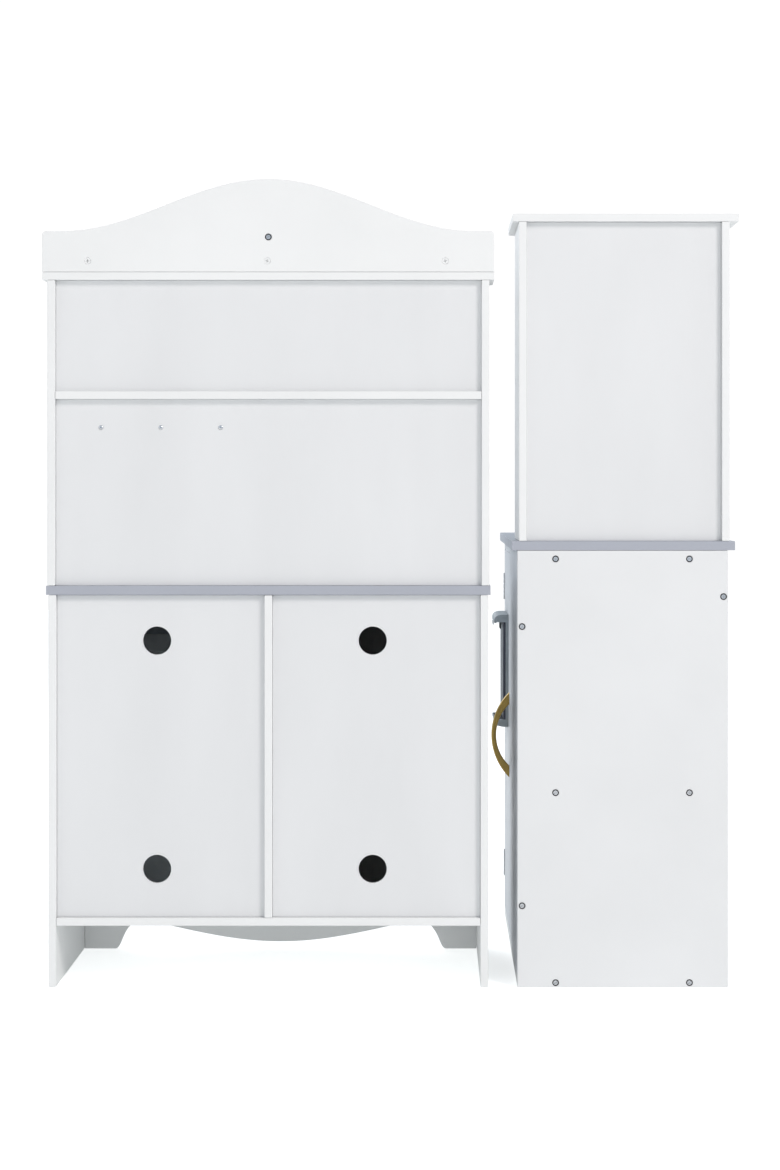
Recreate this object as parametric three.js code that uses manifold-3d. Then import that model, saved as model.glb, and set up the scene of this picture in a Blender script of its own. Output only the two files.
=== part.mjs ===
// A child's L-shaped play kitchen in painted board. The main unit has a sink, a stove, an oven and a
// hutch. The corner unit stands at a right angle to it and has a fridge, with a microwave tower on top.
// Millimetres, +Z up. The main unit faces -Y, the corner unit faces +X, and both backs lie at +Y.

import * as THREE from "three";
import { mergeVertices } from "three/addons/utils/BufferGeometryUtils.js";
import Module from "manifold-3d";

const wasm = await Module();
wasm.setup();

// ---------------------------------------------------------------- driving dimensions

const FIT = 0.3; // left between pieces that touch
const BACK_Y = 275; // rear plane of both units
const HALF_WIDTH = 453; // from the middle to the outer edge of either top board

// boards of the main unit
const BOARD = 10;
const BACK_SHEET = 5; // thickness of the sunk back sheets
const BACK_RECESS = 8; // how far they are sunk from the rear plane
const FRONT_BOARD = 12; // doors, control panel, skirt and the corner unit's boards
const DOOR_GAP = 2.5; // around every door

// main unit
const MAIN_WIDTH = 572;
const MAIN_DEPTH = 274;
const MAIN_FLOOR_Z = 80; // underside of the floor board
const MAIN_TOP_Z = 510; // underside of the worktop
const WORKTOP = 12;
const WORKTOP_OVERHANG_SIDE = 3;
const WORKTOP_OVERHANG_FRONT = 10;
const WORKTOP_CORNER = 8;
const BACK_HOLE_R = 18.3;
const BACK_HOLE_Z = [152.7, 450.3];
const BACK_HOLE_SHIFT = 5; // from the middle of each bay

// skirt under the floor board, measured from the middle of the main unit
const FOOT_INNER = 232;
const BELLY_Z = 10; // lowest point of the wavy edge
const BELLY_RISE = 21;
const BELLY_HALF_WAVE = 300;
const BELLY_END = 200; // where the wave turns down into the foot
const TOE_PULL = [10, 2]; // the curve of a foot leaves its toe this far in, and this high
const BELLY_PULL = [26, 26]; // and comes to the end of the belly from this far out, and this high
const WAVE_STEPS = 28;

// hutch on the main worktop
const HUTCH_WIDTH = 575;
const HUTCH_DEPTH = 88;
const HUTCH_TOP_Z = 920;
const HUTCH_SHELF_Z = 765;
const HUTCH_TOP_WIDTH = 588;
const HUTCH_TOP_DEPTH = 95;
const HUTCH_TOP_CORNER = 12;
const CREST_END_Z = 983.5;
const CREST_RISE = 67.5;
const CREST_HALF_WAVE = 268;
const CREST_CORNER = 5;
const CLEAT_WIDTH = 500;
const CLEAT_HEIGHT = 29;

// clock on the crest
const CLOCK_Z = 975.7;
const CLOCK_R = 38;
const CLOCK_DISC = 5;
const CLOCK_HUB_R = 13;
const CLOCK_PIN_R = 2.6;
const CLOCK_HOUR_DEGREES = -54; // ten past ten
const CLOCK_MINUTE_DEGREES = 60;
const HAND_THICK = 1.5;
const HOUR_HAND = 20;
const MINUTE_HAND = 29;

// stove and oven in the right-hand bay
const CONTROL_PANEL_HEIGHT = 82;
const KNOB_PITCH = 78;
const KNOB_R = 18;
const KNOB_FLANGE = 5;
const KNOB_GRIP = [8, 31, 13]; // width, length and height over the panel
const SPINDLE_R = 4;
const SPINDLE_CLEARANCE = 0.6;
const SPINDLE_TAIL = 2; // seen behind the panel
const HOB = [232, 158, 4];
const HOB_Y = 88;
const OVEN_WINDOW = [184, 160];
const OVEN_WINDOW_Z = 240;
const WINDOW_CORNER = 10;
const PANE = 3;
const OVEN_HANDLE_Z = 392;
const RACK_Z = 250;
const RACK_ROD = 3;
const RACK_BARS = 9;

// sink in the left-hand bay
const BASIN = [172, 112]; // outside of the bowl
const BASIN_DEPTH = 44;
const BASIN_WALL = 2.5;
const BASIN_CORNER = 18;
const BASIN_FLANGE = 12;
const BASIN_Y = 78;
const BASIN_SIDE_GAP = 2; // between the bowl and the cut-out
const TAP_Y = 163;
const TAP_PILLAR_PITCH = 34;
const TAP_PLATE = [96, 26, 5];
const TAP_COLUMN = 20;
const TAP_PILLAR = 14;
const SPOUT_R = 6;
const SPOUT_REACH = 66;
const SPOUT_RISE = 46; // straight part above the collar
const SPOUT_DROP = 14;
const LEVER_LENGTH = 27;
const SINK_HANDLE_Z = 400;

// corner unit
const CORNER_FRONT_X = -165;
const CORNER_DEPTH = 274;
const CORNER_LENGTH = 540;
const CORNER_TOP_Z = 568; // underside of its worktop
const CORNER_SHELF_Z = 247;
const CORNER_TOP_BOARD_Z = 551;
const CORNER_OVERHANG_FRONT = 7;
const CORNER_OVERHANG_BACK = 9;
const CORNER_OVERHANG_END = 10;
const DEAD_CORNER = 288; // length of the fixed front, hidden by the main unit
const BACK_RAIL_Z = [486, 530];

// fridge door, with its ice and water dispenser
const FRIDGE_HANDLE_Y = -56;
const FRIDGE_HANDLE_Z = 294;
const DISPENSER_Y = -145;
const DISPENSER_WIDTH = 112;
const DISPENSER_Z = [301.5, 464.5];
const DISPENSER_PLATE = 7.5;
const DISPENSER_REACH = 20.7;
const DISPENSER_LEDGE = 11;
const DISPENSER_LIP = [4, 1]; // thickness and drop
const PADDLE = [30, 2, 12]; // a short tab close to the plate, so that it needs little room to swing
const PADDLE_ROOM = 1.6;

// tower on the corner worktop
const TOWER_WIDTH = 274;
const TOWER_DEPTH = 158;
const TOWER_TOP_Z = 996;
const TOWER_TOP_WIDTH = 294;
const TOWER_TOP_DEPTH = 190;
const TOWER_SHELF_Z = 788;
const MICROWAVE_WINDOW = [132, 124];
const MICROWAVE_WINDOW_INSET = 22; // from the hinged edge
const MICROWAVE_KNOB_INSET = 68; // from the free edge
const MICROWAVE_HANDLE_INSET = 22;

// bow handles and hooks
const BOW_SPAN = 122;
const BOW_RISE = 25.6;
const BOW_FOOT = 17;
const BOW_THICK = 7;
const BOW_WIDTH = 11;
const HANDLE_INSET = 20; // from a door's free edge
const HOOK_Z = 728;
const HOOK_PITCH = 78;
const HOOK_WIDTH = 8;
const HOOK_STEM = 16; // from the strap's middle down to the bend
const HOOK_STRAP = [182, 20, 5.7];

// ---------------------------------------------------------------- finishes

const WHITE = { color: 0xf0f1f0, roughness: 0.5, metalness: 0 };
const SHEET_WHITE = { color: 0xe4e6e7, roughness: 0.6, metalness: 0 };
const LAVENDER = { color: 0xb3b9c6, roughness: 0.4, metalness: 0 };
const PALE_GREY = { color: 0xd5d9de, roughness: 0.45, metalness: 0 };
const GOLD = { color: 0xb08f45, roughness: 0.3, metalness: 1 };
const SLATE = { color: 0x8f98a1, roughness: 0.45, metalness: 0 };
const STEEL = { color: 0xb9bdc1, roughness: 0.3, metalness: 1 };
const BLACK = { color: 0x22252a, roughness: 0.2, metalness: 0 };
const PANE_TINT = { color: 0x9aa6ae, roughness: 0.1, metalness: 0 };

// ---------------------------------------------------------------- directions and derived planes

const X = new THREE.Vector3(1, 0, 0);
const Y = new THREE.Vector3(0, 1, 0);
const Z = new THREE.Vector3(0, 0, 1);
const FORWARD = new THREE.Vector3(0, -1, 0);

const MAIN_X = HALF_WIDTH - HUTCH_TOP_WIDTH / 2;
const MAIN_FRONT_Y = BACK_Y - MAIN_DEPTH;
const WORKTOP_Z = MAIN_TOP_Z + WORKTOP;
const SHEET_Y = [BACK_Y - BACK_RECESS - BACK_SHEET, BACK_Y - BACK_RECESS];
const MAIN_SPAN = around(MAIN_X, MAIN_WIDTH);
const LEFT_BAY = [MAIN_SPAN[0] + BOARD, MAIN_X - BOARD / 2];
const RIGHT_BAY = [MAIN_X + BOARD / 2, MAIN_SPAN[1] - BOARD];
const BAY_Z = [MAIN_FLOOR_Z + BOARD, MAIN_TOP_Z];
const FRONT_Y = [MAIN_FRONT_Y, MAIN_FRONT_Y + FRONT_BOARD];
const HUTCH_SPAN = around(MAIN_X, HUTCH_WIDTH);
const HUTCH_Y = [BACK_Y - HUTCH_DEPTH, BACK_Y];
const CREST_FRONT_Y = BACK_Y - BOARD;

const CORNER_X = [CORNER_FRONT_X - CORNER_DEPTH, CORNER_FRONT_X];
const CORNER_Y = [BACK_Y - CORNER_LENGTH, BACK_Y];
const CORNER_WORKTOP_Z = CORNER_TOP_Z + WORKTOP;
const CORNER_INSIDE_Y = [CORNER_Y[0] + FRONT_BOARD, CORNER_Y[1] - FRONT_BOARD];
const CORNER_FRONT_BOARD_X = [CORNER_FRONT_X - FRONT_BOARD, CORNER_FRONT_X];
const TOWER_SPAN = around(CORNER_X[0] - 2 + TOWER_WIDTH / 2, TOWER_WIDTH);
const TOWER_Y = [BACK_Y - TOWER_DEPTH, BACK_Y];

// ---------------------------------------------------------------- building blocks

const kitchen = new THREE.Group();

function around(middle, size) {
  return [middle - size / 2, middle + size / 2];
}

function middle([low, high]) {
  return (low + high) / 2;
}

function inside([low, high], gap) {
  return [low + gap, high - gap];
}

// Adds one named piece with a material of its own.
function piece(name, finish, geometry) {
  const mesh = new THREE.Mesh(geometry, new THREE.MeshStandardMaterial(finish));
  mesh.name = name;
  kitchen.add(mesh);
}

// A box geometry between two limits along each axis.
function block([x0, x1], [y0, y1], [z0, z1]) {
  const geometry = new THREE.BoxGeometry(x1 - x0, y1 - y0, z1 - z0);
  return geometry.translate((x0 + x1) / 2, (y0 + y1) / 2, (z0 + z1) / 2);
}

function board(name, finish, xSpan, ySpan, zSpan) {
  piece(name, finish, block(xSpan, ySpan, zSpan));
}

// Turns a geometry so that its x, y and z run along u, v and u x v, and moves it to a point.
function turned(geometry, u, v, x, y, z) {
  const basis = new THREE.Matrix4().makeBasis(u, v, new THREE.Vector3().crossVectors(u, v));
  return geometry.applyMatrix4(basis).translate(x, y, z);
}

// An arc is drawn with twice as many straight steps as `curveSegments`.
function extruded(outline, depth, curveSegments = 3) {
  return new THREE.ExtrudeGeometry(outline, { depth, curveSegments, bevelEnabled: false });
}

function rectangle([x0, x1], [y0, y1]) {
  const corners = [[x0, y0], [x1, y0], [x1, y1], [x0, y1]];
  return new THREE.Shape(corners.map(([x, y]) => new THREE.Vector2(x, y)));
}

// A rectangle with round corners. With `frontOnly` the two corners at the high y stay square.
function roundedOutline([x0, x1], [y0, y1], r, frontOnly = false) {
  const outline = new THREE.Shape();
  outline.moveTo(x0 + r, y0);
  outline.lineTo(x1 - r, y0);
  outline.absarc(x1 - r, y0 + r, r, -Math.PI / 2, 0, false);
  if (frontOnly) {
    outline.lineTo(x1, y1);
    outline.lineTo(x0, y1);
  } else {
    outline.absarc(x1 - r, y1 - r, r, 0, Math.PI / 2, false);
    outline.absarc(x0 + r, y1 - r, r, Math.PI / 2, Math.PI, false);
  }
  outline.absarc(x0 + r, y0 + r, r, Math.PI, Math.PI * 1.5, false);
  return outline;
}

function roundHole(x, y, r) {
  const hole = new THREE.Path();
  hole.absarc(x, y, r, 0, Math.PI * 2, true);
  return hole;
}

function rod(r, length, sides = 20) {
  return new THREE.CylinderGeometry(r, r, length, sides);
}

// A solid of manifold-3d from a closed geometry, so that pieces can be joined and cut.
function solid(geometry) {
  const bare = geometry.index ? geometry.toNonIndexed() : geometry.clone();
  bare.deleteAttribute("normal");
  bare.deleteAttribute("uv");
  const merged = mergeVertices(bare, 1e-4);
  return new wasm.Manifold(new wasm.Mesh({
    numProp: 3,
    vertProperties: merged.attributes.position.array,
    triVerts: new Uint32Array(merged.index.array),
  }));
}

function geometryOf(body) {
  const mesh = body.getMesh();
  const geometry = new THREE.BufferGeometry();
  geometry.setAttribute("position", new THREE.BufferAttribute(mesh.vertProperties, 3));
  geometry.setIndex(new THREE.BufferAttribute(mesh.triVerts, 1));
  return geometry;
}

function joined(...geometries) {
  return geometryOf(geometries.map(solid).reduce((sum, next) => sum.add(next)));
}

function cut(geometry, ...tools) {
  return geometryOf(tools.map(solid).reduce((rest, tool) => rest.subtract(tool), solid(geometry)));
}

// The centre and radius of the arc that rises by `rise` over a chord.
function arcOver(chord, rise) {
  const r = (chord * chord / 4 + rise * rise) / (2 * rise);
  return { r, height: rise - r, angle: Math.atan2(r - rise, chord / 2) };
}

// A bow handle: two arcs that meet the door in a broad foot at each end.
function bowHandle() {
  const outer = arcOver(BOW_SPAN, BOW_RISE);
  const inner = arcOver(BOW_SPAN - 2 * BOW_FOOT, BOW_RISE - BOW_THICK);
  const outline = new THREE.Shape();
  outline.absarc(0, outer.height, outer.r, Math.PI - outer.angle, outer.angle, true);
  outline.absarc(0, inner.height, inner.r, inner.angle, Math.PI - inner.angle, false);
  return extruded(outline, BOW_WIDTH, 8).translate(0, 0, -BOW_WIDTH / 2);
}

// A knob on a spindle that turns about Y. Y = 0 is the face that it sits on.
function knob() {
  const tail = -(FRONT_BOARD + SPINDLE_TAIL);
  const profile = [
    [0, tail], [SPINDLE_R, tail], [SPINDLE_R, SPINDLE_CLEARANCE], [KNOB_R, SPINDLE_CLEARANCE],
    [KNOB_R, KNOB_FLANGE - 1.5], [KNOB_R - 1.5, KNOB_FLANGE], [0, KNOB_FLANGE],
  ];
  const disc = new THREE.LatheGeometry(profile.map(([r, h]) => new THREE.Vector2(r, h)), 24);
  const [width, length, height] = KNOB_GRIP;
  const root = KNOB_FLANGE - 1;
  const grip = extruded(roundedOutline(around(0, width), around(0, length), width / 2 - 0.1), height - root);
  return joined(turned(disc, X, FORWARD, 0, 0, 0), turned(grip, X, Z, 0, -root, 0));
}

// A front board with round holes, seen from -Y. Its outline lies in X and Z.
function drilledBoard(name, finish, xSpan, ySpan, zSpan, holes) {
  const outline = rectangle(xSpan, zSpan);
  outline.holes = holes.map(([x, z, r]) => roundHole(x, z, r));
  piece(name, finish, turned(extruded(outline, ySpan[1] - ySpan[0], 10), X, Z, 0, ySpan[1], 0));
}

// A door facing -Y with a rectangular window, and the pane that fills it.
function glazedDoor(name, pane, xSpan, zSpan, windowX, windowZ, holes, frontY) {
  const outline = rectangle(xSpan, zSpan);
  const opening = roundedOutline(windowX, windowZ, WINDOW_CORNER);
  outline.holes = [new THREE.Path(opening.getPoints(3)), ...holes.map(([x, z, r]) => roundHole(x, z, r))];
  piece(name, WHITE, turned(extruded(outline, FRONT_BOARD, 10), X, Z, 0, frontY + FRONT_BOARD, 0));
  const glass = roundedOutline(inside(windowX, FIT), inside(windowZ, FIT), WINDOW_CORNER);
  piece(pane, PANE_TINT, turned(extruded(glass, PANE), X, Z, 0, frontY + (FRONT_BOARD + PANE) / 2, 0));
}

function handle(name, u, v, x, y, z) {
  piece(name, GOLD, turned(bowHandle(), u, v, x, y, z));
}

// ---------------------------------------------------------------- main unit

function mainCarcass() {
  const y = [MAIN_FRONT_Y, BACK_Y];
  board("main_side_left", WHITE, [MAIN_SPAN[0], LEFT_BAY[0]], y, [0, MAIN_TOP_Z]);
  board("main_side_right", WHITE, [RIGHT_BAY[1], MAIN_SPAN[1]], y, [0, MAIN_TOP_Z]);
  const insideX = inside([LEFT_BAY[0], RIGHT_BAY[1]], FIT);
  board("main_floor", WHITE, insideX, y, [MAIN_FLOOR_Z, BAY_Z[0]]);
  board("main_divider", WHITE, inside([LEFT_BAY[1], RIGHT_BAY[0]], 0), y, inside(BAY_Z, FIT));
  for (const [name, bay] of [["main_back_left", LEFT_BAY], ["main_back_right", RIGHT_BAY]]) {
    const holes = BACK_HOLE_Z.map((z) => [middle(bay) + BACK_HOLE_SHIFT, z, BACK_HOLE_R]);
    drilledBoard(name, SHEET_WHITE, inside(bay, FIT), SHEET_Y, inside(BAY_Z, FIT), holes);
  }
}

// The wavy board between the feet. Its lower edge is a long wave that turns down into each foot.
function mainSkirt() {
  const halfWidth = MAIN_WIDTH / 2 - BOARD - FIT;
  const wave = (x) => BELLY_Z + BELLY_RISE * (1 - Math.cos((Math.PI * x) / BELLY_HALF_WAVE));
  const outline = new THREE.Shape();
  outline.moveTo(-halfWidth, MAIN_FLOOR_Z - FIT);
  outline.lineTo(-halfWidth, 0);
  outline.lineTo(-FOOT_INNER, 0);
  const peak = wave(BELLY_END);
  const [toeIn, toeUp] = TOE_PULL;
  const [bellyOut, bellyUp] = BELLY_PULL;
  outline.bezierCurveTo(-FOOT_INNER + toeIn, toeUp, -BELLY_END - bellyOut, bellyUp, -BELLY_END, peak);
  for (let step = 1; step < WAVE_STEPS; step += 1) {
    const x = -BELLY_END + (2 * BELLY_END * step) / WAVE_STEPS;
    outline.lineTo(x, wave(x));
  }
  outline.lineTo(BELLY_END, peak);
  outline.bezierCurveTo(BELLY_END + bellyOut, bellyUp, FOOT_INNER - toeIn, toeUp, FOOT_INNER, 0);
  outline.lineTo(halfWidth, 0);
  outline.lineTo(halfWidth, MAIN_FLOOR_Z - FIT);
  piece("main_skirt", WHITE, turned(extruded(outline, FRONT_BOARD, 8), X, Z, MAIN_X, FRONT_Y[1], 0));
}

function mainWorktop() {
  const span = around(MAIN_X, MAIN_WIDTH + 2 * WORKTOP_OVERHANG_SIDE);
  const y = [MAIN_FRONT_Y - WORKTOP_OVERHANG_FRONT, BACK_Y];
  const outline = roundedOutline(span, y, WORKTOP_CORNER, true);
  const cutout = roundedOutline(
    around(middle(LEFT_BAY), BASIN[0] + 2 * BASIN_SIDE_GAP),
    around(BASIN_Y, BASIN[1] + 2 * BASIN_SIDE_GAP),
    BASIN_CORNER,
  );
  outline.holes = [new THREE.Path(cutout.getPoints(4))];
  piece("main_worktop", LAVENDER, extruded(outline, WORKTOP - FIT).translate(0, 0, MAIN_TOP_Z + FIT));
}

// ---------------------------------------------------------------- hutch, crest and clock

function hutch() {
  const insideX = [HUTCH_SPAN[0] + BOARD, HUTCH_SPAN[1] - BOARD];
  const z = [WORKTOP_Z + FIT, HUTCH_TOP_Z - FIT];
  board("hutch_side_left", WHITE, [HUTCH_SPAN[0], insideX[0]], HUTCH_Y, z);
  board("hutch_side_right", WHITE, [insideX[1], HUTCH_SPAN[1]], HUTCH_Y, z);
  const shelfZ = [HUTCH_SHELF_Z, HUTCH_SHELF_Z + BOARD];
  board("hutch_shelf", WHITE, inside(insideX, FIT), HUTCH_Y, shelfZ);
  const sheetX = inside(insideX, FIT);
  board("hutch_back_lower", SHEET_WHITE, sheetX, SHEET_Y, [z[0], shelfZ[0] - FIT]);
  board("hutch_back_upper", SHEET_WHITE, sheetX, SHEET_Y, [shelfZ[1] + FIT, z[1]]);

  const topY = [BACK_Y - HUTCH_TOP_DEPTH, BACK_Y];
  const outline = roundedOutline(around(MAIN_X, HUTCH_TOP_WIDTH), topY, HUTCH_TOP_CORNER, true);
  piece("hutch_top", WHITE, extruded(outline, BOARD).translate(0, 0, HUTCH_TOP_Z));
}

// The curved board on top of the hutch, and the strip that it is screwed to from behind.
function crest() {
  const half = HUTCH_TOP_WIDTH / 2;
  const bottom = HUTCH_TOP_Z + BOARD + FIT;
  const outline = new THREE.Shape();
  outline.moveTo(-half, bottom);
  outline.lineTo(half, bottom);
  outline.lineTo(half, CREST_END_Z - CREST_CORNER);
  outline.absarc(half - CREST_CORNER, CREST_END_Z - CREST_CORNER, CREST_CORNER, 0, Math.PI / 2, false);
  for (let step = 0; step <= WAVE_STEPS; step += 1) {
    const x = CREST_HALF_WAVE - (2 * CREST_HALF_WAVE * step) / WAVE_STEPS;
    const lift = (1 + Math.cos((Math.PI * x) / CREST_HALF_WAVE)) / 2;
    outline.lineTo(x, CREST_END_Z + CREST_RISE * lift);
  }
  outline.absarc(CREST_CORNER - half, CREST_END_Z - CREST_CORNER, CREST_CORNER, Math.PI / 2, Math.PI, false);
  piece("hutch_crest", WHITE, turned(extruded(outline, BOARD, 5), X, Z, MAIN_X, BACK_Y, 0));

  const cleatY = [CREST_FRONT_Y - FIT - BOARD, CREST_FRONT_Y - FIT];
  board("crest_cleat", WHITE, around(MAIN_X, CLEAT_WIDTH), cleatY, [bottom, bottom + CLEAT_HEIGHT]);
}

// One hand: a ring on the pin and a tapered blade. It points up before it is turned.
function clockHand(name, length, frontY, degrees) {
  const blade = new THREE.Shape();
  blade.moveTo(-2.6, 0);
  blade.lineTo(2.6, 0);
  blade.lineTo(1, length);
  blade.lineTo(-1, length);
  const ring = rod(CLOCK_PIN_R + 2.4, HAND_THICK).translate(0, HAND_THICK / 2, 0);
  const bore = rod(CLOCK_PIN_R + FIT, 3 * HAND_THICK);
  const shape = joined(turned(extruded(blade, HAND_THICK), X, Z, 0, HAND_THICK, 0), ring);
  const hand = cut(shape, bore).rotateY((degrees * Math.PI) / 180);
  piece(name, GOLD, hand.translate(MAIN_X, frontY, CLOCK_Z));
}

function clock() {
  const hub = BOARD + FIT;
  const face = hub + CLOCK_DISC;
  const pin = face + 2 * HAND_THICK + 3 * FIT + 0.8;
  const profile = [
    [0, 0], [CLOCK_HUB_R, 0], [CLOCK_HUB_R, hub + FIT], [CLOCK_R, hub + FIT], [CLOCK_R, face - 1],
    [CLOCK_R - 1, face], [CLOCK_PIN_R, face], [CLOCK_PIN_R, pin], [0, pin],
  ];
  const dial = new THREE.LatheGeometry(profile.map(([r, h]) => new THREE.Vector2(r, h)), 32);
  piece("clock_dial", PALE_GREY, turned(dial, X, FORWARD, MAIN_X, CREST_FRONT_Y - FIT, CLOCK_Z));
  const faceY = CREST_FRONT_Y - FIT - face;
  clockHand("hour_hand", HOUR_HAND, faceY - FIT - HAND_THICK, CLOCK_HOUR_DEGREES);
  clockHand("minute_hand", MINUTE_HAND, faceY - 2 * (FIT + HAND_THICK), CLOCK_MINUTE_DEGREES);
}

// A strap with three J-shaped hooks under the hutch shelf, over the stove.
function hookRail() {
  const [length, height, thick] = HOOK_STRAP;
  const strapY = [SHEET_Y[0] - FIT - thick, SHEET_Y[0] - FIT];
  const centreX = middle(RIGHT_BAY);
  const strap = block(around(centreX, length), strapY, around(HOOK_Z, height));
  const outer = 11;
  const inner = 7;
  const profile = new THREE.Shape();
  profile.moveTo(0, 4);
  profile.lineTo(0, -HOOK_STEM);
  profile.absarc(-outer, -HOOK_STEM, outer, 0, -Math.PI, true);
  profile.lineTo(-2 * outer, 8 - HOOK_STEM);
  profile.lineTo(inner - outer - 2 * inner, 8 - HOOK_STEM);
  profile.lineTo(inner - outer - 2 * inner, -HOOK_STEM);
  profile.absarc(-outer, -HOOK_STEM, inner, -Math.PI, 0, false);
  profile.lineTo(inner - outer, 4);
  const hooks = [-1, 0, 1].map((n) => {
    const hook = extruded(profile, HOOK_WIDTH, 5);
    return turned(hook, Y, Z, centreX + n * HOOK_PITCH - HOOK_WIDTH / 2, strapY[0] + 1, HOOK_Z);
  });
  piece("hook_rail", GOLD, joined(strap, ...hooks));
}

// ---------------------------------------------------------------- stove and oven

function stove() {
  const bayX = inside(RIGHT_BAY, FIT);
  const panelZ = [MAIN_TOP_Z - CONTROL_PANEL_HEIGHT, MAIN_TOP_Z - FIT];
  const centreX = middle(RIGHT_BAY);
  const knobZ = middle(panelZ);
  const knobs = [["stove_knob_left", -1], ["stove_knob_middle", 0], ["stove_knob_right", 1]];
  const holes = knobs.map(([, n]) => [centreX + n * KNOB_PITCH, knobZ, SPINDLE_R + SPINDLE_CLEARANCE]);
  drilledBoard("control_panel", PALE_GREY, bayX, FRONT_Y, panelZ, holes);
  for (const [name, n] of knobs) {
    piece(name, GOLD, knob().translate(centreX + n * KNOB_PITCH, MAIN_FRONT_Y, knobZ));
  }
  const [width, depth, thick] = HOB;
  const outline = roundedOutline(around(centreX, width), around(HOB_Y, depth), 8);
  piece("hob_plate", BLACK, extruded(outline, thick).translate(0, 0, WORKTOP_Z + FIT));
}

function oven() {
  const centreX = middle(RIGHT_BAY);
  const panelZ = MAIN_TOP_Z - CONTROL_PANEL_HEIGHT;
  const doorZ = [BAY_Z[0] + DOOR_GAP, panelZ - DOOR_GAP];
  const windowX = around(centreX, OVEN_WINDOW[0]);
  const windowZ = around(OVEN_WINDOW_Z, OVEN_WINDOW[1]);
  const doorX = inside(RIGHT_BAY, DOOR_GAP);
  glazedDoor("oven_door", "oven_window", doorX, doorZ, windowX, windowZ, [], MAIN_FRONT_Y);
  handle("oven_handle", X, FORWARD, centreX, MAIN_FRONT_Y - FIT, OVEN_HANDLE_Z);

  const rackX = inside(RIGHT_BAY, FIT);
  const rackY = [FRONT_Y[1] + 6, SHEET_Y[0] - 6];
  const rodZ = [RACK_Z, RACK_Z + RACK_ROD];
  const across = rackY.map((y) => block(rackX, around(y, RACK_ROD), rodZ));
  const pitch = (rackX[1] - rackX[0]) / (RACK_BARS + 1);
  const along = Array.from({ length: RACK_BARS }, (_, n) => {
    const x = rackX[0] + pitch * (n + 1);
    return block(around(x, RACK_ROD), rackY, [RACK_Z + 0.5, RACK_Z + 0.5 + RACK_ROD]);
  });
  piece("oven_rack", STEEL, joined(...across, ...along));
}

// ---------------------------------------------------------------- sink, tap and cupboard doors

function sink() {
  const centreX = middle(LEFT_BAY);
  const rim = [WORKTOP_Z + FIT, WORKTOP_Z + FIT + BASIN_WALL];
  const bowlBottom = rim[1] - BASIN_DEPTH;
  const slabOf = (grow, r, z) => {
    const x = around(centreX, BASIN[0] + 2 * grow);
    const y = around(BASIN_Y, BASIN[1] + 2 * grow);
    return extruded(roundedOutline(x, y, r), z[1] - z[0]).translate(0, 0, z[0]);
  };
  const flange = slabOf(BASIN_FLANGE, BASIN_CORNER + 4, rim);
  const bowl = slabOf(0, BASIN_CORNER, [bowlBottom, rim[1] - 1]);
  const hollow = slabOf(-BASIN_WALL, BASIN_CORNER - BASIN_WALL, [bowlBottom + BASIN_WALL, rim[1] + 5]);
  piece("sink_basin", STEEL, cut(joined(flange, bowl), hollow));
}

// The tap's fixed body: a plate, a middle column and two pillars for the levers.
function tapBody() {
  const [width, depth, thick] = TAP_PLATE;
  const centreX = middle(LEFT_BAY);
  const plate = extruded(roundedOutline(around(0, width), around(0, depth), depth / 2 - 0.1), thick);
  const column = turned(rod(9, TAP_COLUMN), X, Z, 0, 0, TAP_COLUMN / 2 + 1);
  const pillars = [-1, 1].map((n) => {
    return turned(rod(7.5, TAP_PILLAR), X, Z, n * TAP_PILLAR_PITCH, 0, TAP_PILLAR / 2 + 1);
  });
  piece("tap_body", GOLD, joined(plate, column, ...pillars).translate(centreX, TAP_Y, WORKTOP_Z + FIT));
}

// The spout turns on the column: a collar, a rising stretch, a half round and a short drop.
function tapSpout() {
  const route = new THREE.CurvePath();
  const bendR = SPOUT_REACH / 2;
  const top = new THREE.Vector3(0, 0, SPOUT_RISE);
  const over = new THREE.Vector3(0, -SPOUT_REACH, SPOUT_RISE);
  const roundness = (4 / 3) * bendR;
  route.add(new THREE.LineCurve3(new THREE.Vector3(0, 0, 2), top));
  route.add(new THREE.CubicBezierCurve3(
    top,
    top.clone().setZ(SPOUT_RISE + roundness),
    over.clone().setZ(SPOUT_RISE + roundness),
    over,
  ));
  route.add(new THREE.LineCurve3(over, over.clone().setZ(SPOUT_RISE - SPOUT_DROP)));
  const section = new THREE.Shape();
  section.absarc(0, 0, SPOUT_R, 0, Math.PI * 2, false);
  const tube = new THREE.ExtrudeGeometry(section, { steps: 26, curveSegments: 5, extrudePath: route });
  const collar = turned(rod(9, 12), X, Z, 0, 0, 6);
  const base = WORKTOP_Z + 2 * FIT + TAP_COLUMN + 1;
  piece("tap_spout", GOLD, joined(tube, collar).translate(middle(LEFT_BAY), TAP_Y, base));
}

// A lever points away from the spout at rest: a cap on its pillar and a rounded bar.
function tapLever(name, side) {
  const cap = turned(rod(7.5, 9), X, Z, 0, 0, 4.5);
  const bar = extruded(roundedOutline([-4, LEVER_LENGTH], [-3.5, 3.5], 3.4), 4.5).translate(0, 0, 3);
  const lever = joined(cap, bar);
  if (side < 0) {
    lever.rotateZ(Math.PI);
  }
  const base = WORKTOP_Z + 2 * FIT + TAP_PILLAR + 1;
  piece(name, GOLD, lever.translate(middle(LEFT_BAY) + side * TAP_PILLAR_PITCH, TAP_Y, base));
}

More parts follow.
